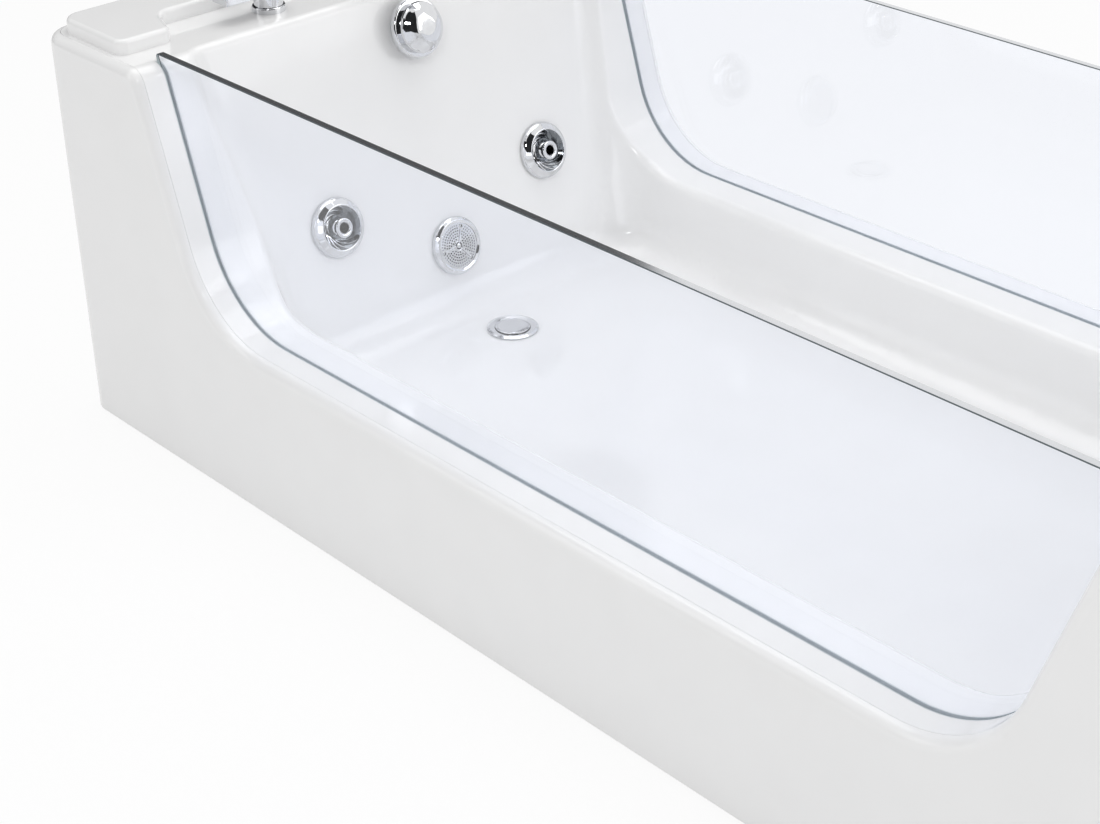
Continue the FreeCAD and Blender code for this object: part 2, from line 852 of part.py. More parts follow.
def drain_flange():
    seat = gasket_thickness
    low, high = -drain_barrel_back + 8, -drain_barrel_back + 18
    body = turned((drain_bore, -drain_barrel_back), (drain_barrel, -drain_barrel_back), (drain_barrel, seat),
                  (drain_flange_radius, seat), (drain_flange_radius, seat + 0.8),
                  (drain_flange_radius - 4, seat + 2.4, 2), (plug_radius + 1, seat + 1.2, 1),
                  (drain_bore, seat - 1.6))
    bush = disc(plug_stem + bush_wall, low, high)
    arms = spokes(drain_bore + 2, bush_wall / 2, low, high - 2)
    return fused([body, bush] + arms).cut(disc(plug_stem + spindle_clearance, low - 1, high + 1))


def drain_plug():
    seat = gasket_thickness + 1.6
    return turned((0, seat + plug_crown), (plug_radius * 0.6, seat + 0.9 * plug_crown),
                  (plug_radius, seat + 0.5 * plug_crown, 0.6), (plug_radius - 0.4, seat), (plug_stem, seat),
                  (plug_stem, -stem_end), (0, -stem_end))


def drain_body():
    bore = drain_barrel + thread_clearance
    drop = floor_height - trap_top
    tail = trap_tail - thread_clearance
    collar, shoulder = bore + body_wall + collar_width, -acrylic - collar_depth
    end, inner, skin = -drop - trap_dip, tail - trap_wall, bore + body_wall
    return turned((bore, -acrylic), (collar, -acrylic), (collar, shoulder), (skin, shoulder - collar_width),
                  (skin, -drop), (tail, -drop), (tail, end), (inner, end), (inner, -drop + body_wall),
                  (bore, -drop + body_wall))


def waste_trap():
    inner, bottom, lid = trap_radius - trap_wall, trap_low + trap_wall, trap_top - trap_wall
    cup = turned((trap_tail, trap_top), (trap_radius, trap_top, 5), (trap_radius, trap_low, 10),
                 (0, trap_low), (0, bottom), (inner, bottom, 7), (inner, lid, 2), (trap_tail, lid))
    root = trap_radius - 2 * trap_wall
    out, back = Vector(0, outlet_end, outlet_height), Vector(0, -trap_radius - trap_inlet, overflow_pipe_low)
    foot, shoulder = Vector(0, root, outlet_height), Vector(0, outlet_shoulder, outlet_height)
    cup = fused([cup, rod(outlet_collar, foot, shoulder), rod(outlet_radius, foot, out)])
    cup = cup.fuse(rod(overflow_pipe_bore - socket_clearance, Vector(0, -root, overflow_pipe_low), back))
    cup = cup.cut(rod(outlet_bore, Vector(0, root - 8, outlet_height), out + Vector(0, 1, 0)))
    bore, start = overflow_pipe_bore - pipe_wall, Vector(0, -root + 8, overflow_pipe_low)
    cup = cup.cut(rod(bore, start, back - Vector(0, 1, 0)))
    return placed(cup, Placement(Vector(drain_x, 0, 0), Rotation()))


# Taps

def rosettes():
    rings = []
    bore = shank_radius + socket_clearance
    for place in tap_places:
        one = turned((bore, 0), (rosette_radius, 0), (rosette_radius, rosette_height, 2),
                     (bore, rosette_height))
        rings.append(placed(one, Placement(Vector(place[0], place[1], ledge_height), Rotation())))
    return group(rings)


def valve(side):
    """Valve under the ledge: shank, body, inlet below and outlet towards the spout."""
    x, y = tap_x, side * tap_side
    top = ledge_height + rosette_height
    shape = fused([disc(shank_radius, deck_under - 20, top, (x, y)),
                   disc(valve_radius, valve_low, deck_under - nut_height - 0.5, (x, y)),
                   disc(inlet_radius, valve_low - inlet_length, valve_low + 1, (x, y)),
                   rod(filler_bore - socket_clearance, Vector(x, y, filler_height),
                       Vector(x, y - side * (valve_radius + 16), filler_height))])
    shape = shape.cut(disc(spindle_radius + spindle_clearance, deck_under - 40, top + 1, (x, y)))
    return shape.cut(disc(inlet_bore, valve_low - inlet_length - 1, valve_low + 12, (x, y)))


def tap_locknuts():
    bore, low = shank_radius + socket_clearance, deck_under - nut_height
    return group([hex_nut(nut_radius, bore, low, deck_under, place) for place in tap_places])


def lever(side):
    """Hub with a flat bar that points to the tub's side while the tap is shut."""
    x, y = tap_x, side * tap_side
    low = ledge_height + rosette_height + running_clearance
    bar_low = low + hub_height
    half = lever_width / 2
    low_y, high_y = sorted((y - side * lever_tail, y + side * lever_reach))
    corners = [(x - half, low_y, 3), (x + half, low_y, 3), (x + half, high_y, 3), (x - half, high_y, 3)]
    bar = slab(corners, bar_low, bar_low + lever_thickness)
    bar = bar.makeFillet(1.2, edges_at_height(bar, bar_low + lever_thickness))
    hub = disc(hub_radius, low, bar_low + 1, (x, y))
    return fused([bar, hub, disc(spindle_radius, deck_under - 30, low + 2, (x, y))])


def spout():
    """Flat spout that rises from its base and pours over the well."""
    low = ledge_height + rosette_height
    high = low + spout_height
    back, tip = tap_x - spout_thickness * 0.8, tap_x + spout_reach
    front = back + 1.6 * spout_thickness
    thin = spout_thickness * 0.62
    corners = [(back, low, 0), (back, high, 34), (tip, high - 12, 3), (tip - 2, high - 12 - thin, 3),
               (front, high - spout_thickness - 6, 18), (front, low, 0)]
    body = across(corners, -spout_width / 2, spout_width / 2)
    mouth = spout_width / 2 - 4
    slot = box((tip - 24, tip + 2), (-mouth, mouth), (high - 12 - thin + 3.5, high - 15.5))
    shank = disc(shank_radius, filler_height - filler_radius - 4, low + 1, (tap_x, 0))
    across_shank = Vector(0, 3 * filler_radius, 0)
    middle = Vector(tap_x, 0, filler_height)
    return body.cut(slot).fuse(shank).cut(
        rod(filler_radius + socket_clearance, middle - across_shank, middle + across_shank))


def filler_pipe():
    reach = tap_side - valve_radius - 0.5
    ends = Vector(tap_x, -reach, filler_height), Vector(tap_x, reach, filler_height)
    return rod(filler_radius, *ends).cut(rod(filler_bore, *ends))


# Controls on the raised border

def start_bezel():
    x, y = control_x, button_y
    low = rim_height - cup_depth
    cup = fused([disc(bezel_radius, rim_height, rim_height + bezel_height, (x, y)),
                 disc(control_hole - 0.2, low, rim_height + 1, (x, y))])
    rounded = cup.makeFillet(1.5, edges_at_height(cup, rim_height + bezel_height))
    return rounded.cut(disc(bezel_bore - 1.5, low + 3, rim_height + 10, (x, y))).cut(
        disc(bezel_bore, rim_height - 8, rim_height + 10, (x, y)))


def start_button():
    x, y = control_x, button_y
    top = rim_height + bezel_height + button_proud
    low = rim_height - 8 + button_travel + 1
    cap = turned((0, top), (bezel_bore - 5, top - 0.4), (bezel_bore - running_clearance, top - 2.4, 1.5),
                 (bezel_bore - running_clearance, low), (0, low))
    return placed(cap, Placement(Vector(x, y, 0), Rotation()))


def air_control_body():
    x, y = control_x, air_y
    spigot, shoulder = air_feed_radius - pipe_wall - socket_clearance, air_body_low + 20
    shape = fused([disc(bezel_radius, rim_height, rim_height + bezel_height, (x, y)),
                   disc(control_hole - socket_clearance, shoulder, rim_height + 1, (x, y)),
                   disc(spigot, air_body_low, shoulder + 1, (x, y))])
    shape = shape.cut(disc(air_spigot_bore, air_body_low - 1, air_body_low + 40, (x, y)))
    return shape.cut(disc(spindle_radius + spindle_clearance, rim_height - 20, rim_height + 10, (x, y)))


def air_control_knob():
    x, y = control_x, air_y
    low = rim_height + bezel_height + running_clearance
    grip = turned((0, low), (knob_grip_radius, low), (knob_grip_radius - 1, low + knob_grip_height, 2),
                  (0, low + knob_grip_height))
    flutes = []
    for index in range(knob_flutes):
        angle = 2 * math.pi * index / knob_flutes
        spot = ((knob_grip_radius + 2.5) * math.cos(angle), (knob_grip_radius + 2.5) * math.sin(angle))
        flutes.append(disc(4.5, low + 3, low + knob_grip_height + 1, spot))
    grip = grip.cut(group(flutes)).fuse(disc(spindle_radius, rim_height - 18, low + 1))
    return placed(grip, Placement(Vector(x, y, 0), Rotation()))


# Pump: its axis lies along Y

def along_y(shape):
    """Turned shape laid along Y through the pump's axis; its Z becomes Y."""
    return placed(shape, Placement(Vector(pump_x, 0, pump_z), Rotation(Vector(1, 0, 0), -90)))


def pump_motor():
    start, end = motor_start, motor_end
    body = turned((0, start), (motor_radius - 8, start, 6), (motor_radius, start + 14, 4),
                  (motor_radius, end), (0, end))
    fins = []
    for index in range(motor_fins):
        fin = box((motor_radius - 2, motor_radius + motor_fin), (-1.5, 1.5), (start + 34, end - 18))
        fin.rotate(Vector(0, 0, 0), Vector(0, 0, 1), 360.0 * (index + 0.5) / motor_fins)
        fins.append(fin)
    body = fused([body] + fins).cut(disc(shaft_radius + shaft_clearance, end - shaft_socket, end + 1))
    motor = along_y(body)
    crown = pump_z + motor_radius
    lid = box((pump_x - terminal_half, pump_x + terminal_half), (start + 50, end - 40),
              (crown - 8, crown + terminal_rise))
    return motor.fuse(lid.makeFillet(4, edges_at_height(lid, crown + terminal_rise)))


def pump_volute():
    """Hollow wet end with an axial inlet and an outlet that leaves upwards."""
    start, end = motor_end, volute_end
    outlet_x = tap_water_line().x
    body = along_y(turned((0, start), (volute_radius - 14, start), (volute_radius, start + 10, 4),
                          (volute_radius, end - 8, 6), (0, end)))
    inlet = rod(pump_spigot, Vector(pump_x, end - 6, pump_z), Vector(pump_x, end + pump_inlet_length, pump_z))
    foot = Vector(outlet_x, pump_outlet_y, pump_z)
    outlet = rod(pump_spigot, foot, Vector(outlet_x, pump_outlet_y, pump_outlet_top))
    body = fused([body, inlet, outlet])
    chamber = along_y(disc(volute_radius - volute_wall, start + volute_wall, end - volute_wall - 4))
    mouth = Vector(pump_x, end + 2 * pump_inlet_length, pump_z)
    bores = [rod(pump_spigot_bore, Vector(pump_x, end - 20, pump_z), mouth),
             rod(pump_spigot_bore, foot, Vector(outlet_x, pump_outlet_y, open_top)),
             along_y(disc(shaft_radius + shaft_clearance, start - 1, start + 20))]
    return body.cut(chamber).cut(fused(bores))


def impeller():
    start = motor_end + volute_wall + impeller_gap
    low, high = start + impeller_plate - 1, start + impeller_plate + blade_height
    plate = disc(impeller_radius, start, start + impeller_plate)
    hub = disc(2 * shaft_radius, start, high)
    sector = box((0, impeller_radius), (0, impeller_radius), (low, high))
    first = ring(blade_arc, blade_arc - blade_thickness, low, high, (blade_offset, 0))
    first = first.common(disc(impeller_radius, low, high)).common(sector)
    blades = []
    for index in range(impeller_blades):
        blade = first.copy()
        blade.rotate(Vector(0, 0, 0), Vector(0, 0, 1), 360.0 * index / impeller_blades)
        blades.append(blade)
    shaft = disc(shaft_radius, motor_end - shaft_reach, start + 2)
    return along_y(fused([plate, hub, shaft] + blades))


def pump_base():
    """Plate across the frame with a cradle under the motor."""
    x0, x1 = -post_x - tube / 2, pump_cross_x + tube / 2
    top = rail_top + pump_plate
    plate = box((x0, x1), (motor_start + 20, motor_end - 10), (rail_top, top))
    span = (pump_x - cradle_half, pump_x + cradle_half)
    cradle = box(span, (motor_start + cradle_start, motor_end - cradle_end), (top - 1, pump_z - 20))
    hollow = along_y(disc(motor_radius + motor_fin + 0.3, motor_start, motor_end))
    return plate.fuse(cradle.cut(hollow)).cut(hollow)


# Pipes

def route(points, bend):
    """Wire through points with a tangent arc at each corner."""
    edges = []
    start = points[0]
    for before, corner, after in zip(points, points[1:], points[2:]):
        back, ahead = (before - corner).normalize(), (after - corner).normalize()
        half = back.getAngle(ahead) / 2
        run = bend / math.tan(half)
        bisector = (back + ahead).normalize()
        middle = corner + bisector * (bend / math.sin(half) - bend)
        edges.append(Part.LineSegment(start, corner + back * run).toShape())
        edges.append(Part.Arc(corner + back * run, middle, corner + ahead * run).toShape())
        start = corner + ahead * run
    edges.append(Part.LineSegment(start, points[-1]).toShape())
    return Part.Wire(edges)


def swept(points, radius, bend):
    path = route(points, bend)
    direction = points[1] - points[0]
    section = Part.Wire([Part.Circle(points[0], direction, radius).toShape()])
    return path.makePipeShell([section], True, False)


def tube_along(points, radius, bore, bend):
    return swept(points, radius, bend).cut(swept(points, bore, bend))


def jet_spot(name, forward, up):
    """Point beside a jet: distance along its axis into the well, and up along the wall."""
    place = jet_places[name]
    sign = -1 if name.endswith("foot_jet") else 1
    return place.multVec(Vector(sign * up, 0, forward))


def tap_water_line():
    return jet_spot("far_foot_jet", -water_line_reach, 0)


def back_water_line():
    return jet_spot("far_back_jet", -water_line_reach, 0)


def round_the_well(tap, back, end, side, low):
    """Corners of a line that passes both pairs of jets and runs along the far side."""
    return [Vector(tap.x, end, tap.z), Vector(tap.x, side, tap.z), Vector(tap.x, side, low),
            Vector(back.x, side, low), Vector(back.x, side, back.z), Vector(back.x, end, back.z)]


def water_line_points():
    end = -jet_side - water_line_end
    return round_the_well(tap_water_line(), back_water_line(), end, side_run_y, side_run_z)


def pressure_pipe():
    points, bore, tap = water_line_points(), water_line_bore, tap_water_line()
    outer, inner = swept(points, bore + pipe_wall, pipe_bend), swept(points, bore, pipe_bend)
    socket_end = Vector(tap.x, pump_outlet_y, pump_outlet_top - socket_depth)
    below = socket_end - Vector(0, 0, 1)
    middle = Vector(tap.x, pump_outlet_y, tap.z)
    socket = pump_spigot + socket_clearance
    outer = outer.fuse(rod(socket + pipe_wall, middle, socket_end))
    inner = inner.fuse(rod(bore, middle, below))
    inner = inner.fuse(rod(socket, Vector(tap.x, pump_outlet_y, pump_outlet_top), below))
    caps = [rod(bore + 1, end, end + Vector(0, pipe_wall, 0)) for end in (points[0], points[-1])]
    pipe = outer.cut(inner).fuse(fused(caps))
    drills = [rod(water_spigot + socket_clearance, jet_spot(name, -water_line_reach, 0),
                  jet_spot(name, -water_line_reach + 40, 0)) for name in jet_places]
    return pipe.cut(fused(drills))


def air_pipe():
    tap = jet_spot("far_foot_jet", -air_line_depth, air_line_reach)
    back = jet_spot("far_back_jet", -air_line_depth, air_line_reach)
    drop = air_body_low + socket_depth
    first = [Vector(control_x, air_y, drop), Vector(control_x, air_y, tap.z), Vector(tap.x, air_y, tap.z)]
    radius, bore = air_pipe_radius, air_pipe_radius - pipe_wall
    side = side_wall_y(air_run_z, acrylic) + air_run_gap + radius
    main = round_the_well(tap, back, -jet_side - air_line_end, side, air_run_z)
    outer = swept(main, radius, air_bend).fuse(swept(first, air_feed_radius, air_bend))
    inner = swept(main, bore, air_bend).fuse(swept(first, air_feed_radius - pipe_wall, air_bend))
    caps = [rod(bore + 1, spot, spot + Vector(0, pipe_wall, 0)) for spot in (main[0], main[-1])]
    pipe = outer.cut(inner).fuse(fused(caps))
    drills = [rod(air_spigot + socket_clearance, jet_spot(name, -air_line_depth, air_line_reach - 14),
                  jet_spot(name, -air_line_depth, air_line_reach)) for name in jet_places]
    return pipe.cut(fused(drills))


def suction_pipe():
    start = suction_place.multVec(Vector(0, body_radius + 8, -suction_spigot_depth))
    spigot_end = volute_end + pump_inlet_length
    inlet, turn = Vector(pump_x, spigot_end - socket_depth, pump_z), spigot_end + pipe_bend
    points = [start, Vector(start.x, turn, start.z), Vector(inlet.x, turn, inlet.z), inlet]
    radius = suction_spigot + socket_clearance
    return tube_along(points, radius + pipe_wall, radius, pipe_bend)


def overflow_points():
    """Corners of the way from the overflow's spigot down to the trap."""
    root = overflow_place.multVec(Vector(0, 0, -overflow_spigot_depth))
    run = (root.z - overflow_cross_height) / math.cos(math.radians(tap_tilt))
    start = overflow_place.multVec(Vector(body_radius + collar_width + 2, 0, -overflow_spigot_depth))
    elbow = overflow_place.multVec(Vector(run, 0, -overflow_spigot_depth))
    low, side = overflow_pipe_low, overflow_pipe_side
    return [start, elbow, Vector(elbow.x, side, elbow.z), Vector(elbow.x, side, low),
            Vector(drain_x, side, low), Vector(drain_x, -trap_radius - 8, low)]


def overflow_pipe():
    return tube_along(overflow_points(), overflow_pipe_radius, overflow_pipe_bore, pipe_bend)


def lift_cable():
    """Sheathed cable inside the overflow pipe, from the knob's spindle to the plug's stem."""
    points = overflow_points()
    points[0] = overflow_place.multVec(Vector(spindle_radius + cable_gap, 0, -overflow_spigot_depth))
    points[-1] = Vector(drain_x, 0, overflow_pipe_low)
    points.append(Vector(drain_x, 0, floor_height - stem_end - cable_gap))
    return swept(points, cable_radius, cable_bend)


# Frame and feet

def bar(x, y, z, inset):
    return box((x[0] + inset, x[1] - inset), (y[0] + inset, y[1] - inset), (z[0] + inset, z[1] - inset))


def support_frame():
    half, low = tube / 2, rail_top - tube
    spans = []
    for side in (-1, 1):
        rail = (side * rail_y - half, side * rail_y + half)
        spans.append(((-post_x - half, post_x + half), rail, (low, rail_top)))
        for end in (-1, 1):
            spans.append(((end * post_x - half, end * post_x + half), rail, (low, deck_under)))
    for x in cross_places + (pump_cross_x, -post_x, post_x):
        spans.append(((x - half, x + half), (-rail_y - half, rail_y + half), (low, rail_top)))
    frame = fused([bar(*span, 0) for span in spans]).cut(fused([bar(*span, tube_wall) for span in spans]))
    bore = stem_radius + socket_clearance
    drills = [disc(bore, low - 1, low + tube_wall + 1, spot) for spot in foot_spots()]
    return frame.removeSplitter().cut(fused(drills))


def foot_spots():
    return [(x, y) for x in foot_places for y in (-rail_y, rail_y)]


def leveling_feet():
    feet = []
    stem_top = rail_top - 3 * tube_wall
    for x, y in foot_spots():
        pad = turned((0, 0), (pad_radius, 0, 1.5), (pad_radius, pad_height * 0.5, 2),
                     (stem_radius + 4, pad_height), (stem_radius, pad_height), (stem_radius, stem_top),
                     (0, stem_top))
        feet.append(placed(pad, Placement(Vector(x, y, 0), Rotation())))
    return group(feet)


def foot_locknuts():
    top = rail_top - tube
    low, bore = top - foot_nut_height, stem_radius + socket_clearance
    return group([hex_nut(foot_nut_radius, bore, low, top, spot) for spot in foot_spots()])


def base_board():
    reach = (cross_places[0] + board_overhang, cross_places[-1] + board_overhang)
    return box(reach, (-board_half, board_half), (floor_under - board_thickness, floor_under))


def control_box():
    wall = half_width - acrylic - running_clearance
    case = box(box_x, (wall - box_depth, wall), box_z)
    upright = [e for e in case.Edges if abs(e.BoundBox.ZLength - (box_z[1] - box_z[0])) < 1e-4]
    case = case.makeFillet(box_corner, upright)
    gland = rod(gland_radius, Vector(sum(box_x) / 2, wall - box_depth / 2, box_z[0] + 1),
                Vector(sum(box_x) / 2, wall - box_depth / 2, box_z[0] - gland_length))
    return case.fuse(gland)


def build():
    nodes["tub_shell"] = tub_shell()
    nodes["skirt"] = skirt()
    nodes["access_panel"] = access_panel()
    nodes["access_frame"] = access_frame()
    nodes["access_screws"] = access_screws()
    for name, side in (("near", -1), ("far", 1)):
        nodes[name + "_glass"] = glass(side)
        nodes[name + "_glass_seal"] = glass_seal(side)
    nodes["base_board"] = base_board()
    nodes["support_frame"] = support_frame()
    nodes["leveling_feet"] = leveling_feet()
    nodes["foot_locknuts"] = foot_locknuts()

    places = jet_places.values()
    nodes["jet_fittings"] = group([placed(wall_fitting(), place) for place in places])
    nodes["jet_gaskets"] = group([placed(wall_gasket(), place) for place in places])
    nodes["jet_bodies"] = group([placed(jet_body(-1 if name.endswith("foot_jet") else 1), place)
                                 for name, place in jet_places.items()])
    for name, place in jet_places.items():
        nodes[name + "_ring"] = placed(jet_ring(), place)
        nodes[name + "_nozzle"] = placed(nozzle(), place)

    nodes["suction_fitting"] = placed(wall_fitting(), suction_place)
    nodes["suction_gasket"] = placed(wall_gasket(), suction_place)
    cup = with_spigot(rear_cup(barrel_radius, suction_body_depth), suction_spigot, suction_spigot_bore,
                      suction_spigot_depth, Vector(0, 1, 0), body_radius + 26)
    nodes["suction_body"] = placed(cup, suction_place)
    nodes["suction_rim"] = placed(suction_rim(), suction_place)
    nodes["suction_grille"] = placed(suction_grille(), suction_place)
    nodes["suction_screws"] = placed(suction_screws(), suction_place)

    nodes["overflow_fitting"] = placed(overflow_fitting(), overflow_place)
    gasket = ring(flange_radius - 4, overflow_hole, 0, gasket_thickness)
    nodes["overflow_gasket"] = placed(gasket, overflow_place)
    nodes["overflow_body"] = placed(overflow_body(), overflow_place)
    nodes["overflow_knob"] = placed(overflow_knob(), overflow_place)
    nodes["overflow_pipe"] = overflow_pipe()
    nodes["lift_cable"] = lift_cable()
    nodes["drain_flange"] = placed(drain_flange(), drain_place)
    gasket = ring(drain_flange_radius - 2, drain_hole, 0, gasket_thickness)
    nodes["drain_gasket"] = placed(gasket, drain_place)
    nodes["drain_body"] = placed(drain_body(), drain_place)
    nodes["drain_plug"] = placed(drain_plug(), drain_place)
    nodes["waste_trap"] = waste_trap()

    nodes["tap_rosettes"] = rosettes()
    nodes["valve_bodies"] = group([valve(-1), valve(1)])
    nodes["tap_locknuts"] = tap_locknuts()
    nodes["hot_lever"] = lever(-1)
    nodes["cold_lever"] = lever(1)
    nodes["spout"] = spout()
    nodes["filler_pipe"] = filler_pipe()
    nodes["start_bezel"] = start_bezel()
    nodes["start_button"] = start_button()
    nodes["air_control_body"] = air_control_body()
    nodes["air_control_knob"] = air_control_knob()

    nodes["pump_base"] = pump_base()
    nodes["pump_motor"] = pump_motor()
    nodes["pump_volute"] = pump_volute()
    nodes["impeller"] = impeller()
    nodes["pressure_pipe"] = pressure_pipe()
    nodes["suction_pipe"] = suction_pipe()
    nodes["air_pipe"] = air_pipe()
    nodes["control_box"] = control_box()


build()
os.makedirs("parts", exist_ok=True)
for name, shape in nodes.items():
    state = "valid" if shape.isValid() else "NOT VALID"
    print(f"{name}: {len(shape.Solids)} solids, {shape.Volume / 1000:.1f} cm3, {state}")
    shape.exportStep(f"parts/{name}.step")
print(len(nodes), "nodes")
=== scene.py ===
import json
import math
import bmesh
import bpy
from mathutils import Matrix, Vector


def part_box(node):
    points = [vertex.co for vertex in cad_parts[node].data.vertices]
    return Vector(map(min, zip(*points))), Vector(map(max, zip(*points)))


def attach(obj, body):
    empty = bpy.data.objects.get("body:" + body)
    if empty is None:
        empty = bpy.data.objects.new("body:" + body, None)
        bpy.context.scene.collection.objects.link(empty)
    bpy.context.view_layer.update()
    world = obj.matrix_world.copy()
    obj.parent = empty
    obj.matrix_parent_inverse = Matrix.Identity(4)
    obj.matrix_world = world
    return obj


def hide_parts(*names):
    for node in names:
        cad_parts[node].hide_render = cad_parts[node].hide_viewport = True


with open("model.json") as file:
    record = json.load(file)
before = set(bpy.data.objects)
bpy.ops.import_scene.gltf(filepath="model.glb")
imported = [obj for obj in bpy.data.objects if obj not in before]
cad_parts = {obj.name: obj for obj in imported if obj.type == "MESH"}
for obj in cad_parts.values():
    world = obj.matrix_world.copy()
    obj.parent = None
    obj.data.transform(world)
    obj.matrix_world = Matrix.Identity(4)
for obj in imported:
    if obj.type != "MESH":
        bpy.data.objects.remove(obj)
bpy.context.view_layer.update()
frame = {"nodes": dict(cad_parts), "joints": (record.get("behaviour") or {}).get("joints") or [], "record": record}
scene = bpy.context.scene
print("frame loaded,", len(frame["nodes"]), "nodes")

mm = 0.001
weldGap = 0.001 * mm  # points of a spun shape that are closer than this become one
sharpAngle = 31       # degrees between two faces from which their edge stays sharp


def hexToLinear(code):
    channels = [int(code[i:i + 2], 16) / 255 for i in (1, 3, 5)]
    return [c / 12.92 if c <= 0.04045 else ((c + 0.055) / 1.055) ** 2.4 for c in channels] + [1.0]


def addNode(tree, kind, settings=None, inputs=None):
    node = tree.nodes.new(kind)
    for key, value in (settings or {}).items():
        setattr(node, key, value)
    for key, value in (inputs or {}).items():
        socket = node.inputs[key]
        if isinstance(value, bpy.types.NodeSocket):
            tree.links.new(value, socket)
        else:
            socket.default_value = value
    return node


def newMaterial(name):
    material = bpy.data.materials.new(name)
    material.use_nodes = True
    tree = material.node_tree
    tree.nodes.clear()
    return material, tree


def perMm(size):
    return 1000.0 / size  # a texture's scale for features of this many millimetres


# Vacuum-formed acrylic sheet: deep gloss, with the slow ripple that the mould leaves in its reflections
acrylicLook = {"colour": "#F5F5F5", "shade": "#F1F1F1", "roughness": 0.07, "roughSpread": 0.03, "ior": 1.49,
               "ripple": 85, "rippleStrength": 0.05, "rippleDepth": 2, "mottle": 9}


def makeAcrylic(name, look):
    material, tree = newMaterial(name)
    place = addNode(tree, "ShaderNodeTexCoord").outputs["Object"]
    ripple = addNode(tree, "ShaderNodeTexNoise", inputs={
        "Vector": place, "Scale": perMm(look["ripple"]), "Detail": 1.0})
    mottle = addNode(tree, "ShaderNodeTexNoise", inputs={
        "Vector": place, "Scale": perMm(look["mottle"]), "Detail": 3.0})
    colour = addNode(tree, "ShaderNodeMix", {"data_type": "RGBA"}, {"Factor": ripple.outputs["Fac"]})
    colour.inputs["A"].default_value = hexToLinear(look["colour"])
    colour.inputs["B"].default_value = hexToLinear(look["shade"])
    gloss = addNode(tree, "ShaderNodeMapRange", inputs={
        "Value": mottle.outputs["Fac"], "To Min": look["roughness"],
        "To Max": look["roughness"] + look["roughSpread"]})
    bump = addNode(tree, "ShaderNodeBump", inputs={
        "Height": ripple.outputs["Fac"], "Strength": look["rippleStrength"],
        "Distance": look["rippleDepth"] * mm})
    shader = addNode(tree, "ShaderNodeBsdfPrincipled", inputs={
        "Base Color": colour.outputs["Result"], "Roughness": gloss.outputs["Result"], "IOR": look["ior"],
        "Normal": bump.outputs["Normal"]})
    addNode(tree, "ShaderNodeOutputMaterial", inputs={"Surface": shader.outputs["BSDF"]})
    return material


# Float glass: clear with a cold tint, faintly wavy, and it lets the light through to what stands behind it
glassLook = {"colour": "#F7F9FE", "ior": 1.5, "wave": 240, "waveStrength": 0.02, "waveDepth": 1}


def makeGlass(name, look):
    material, tree = newMaterial(name)
    place = addNode(tree, "ShaderNodeTexCoord").outputs["Object"]
    wave = addNode(tree, "ShaderNodeTexNoise", inputs={
        "Vector": place, "Scale": perMm(look["wave"]), "Detail": 0.0})
    bump = addNode(tree, "ShaderNodeBump", inputs={
        "Height": wave.outputs["Fac"], "Strength": look["waveStrength"], "Distance": look["waveDepth"] * mm})
    shader = addNode(tree, "ShaderNodeBsdfPrincipled", inputs={
        "Base Color": hexToLinear(look["colour"]), "Roughness": 0.0, "IOR": look["ior"],
        "Transmission Weight": 1.0, "Normal": bump.outputs["Normal"]})
    clear = addNode(tree, "ShaderNodeBsdfTransparent", inputs={"Color": hexToLinear(look["colour"])})
    path = addNode(tree, "ShaderNodeLightPath")
    mix = addNode(tree, "ShaderNodeMixShader", inputs={0: path.outputs["Is Shadow Ray"]})
    tree.links.new(shader.outputs["BSDF"], mix.inputs[1])
    tree.links.new(clear.outputs["BSDF"], mix.inputs[2])
    addNode(tree, "ShaderNodeOutputMaterial", inputs={"Surface": mix.outputs["Shader"]})
    return material


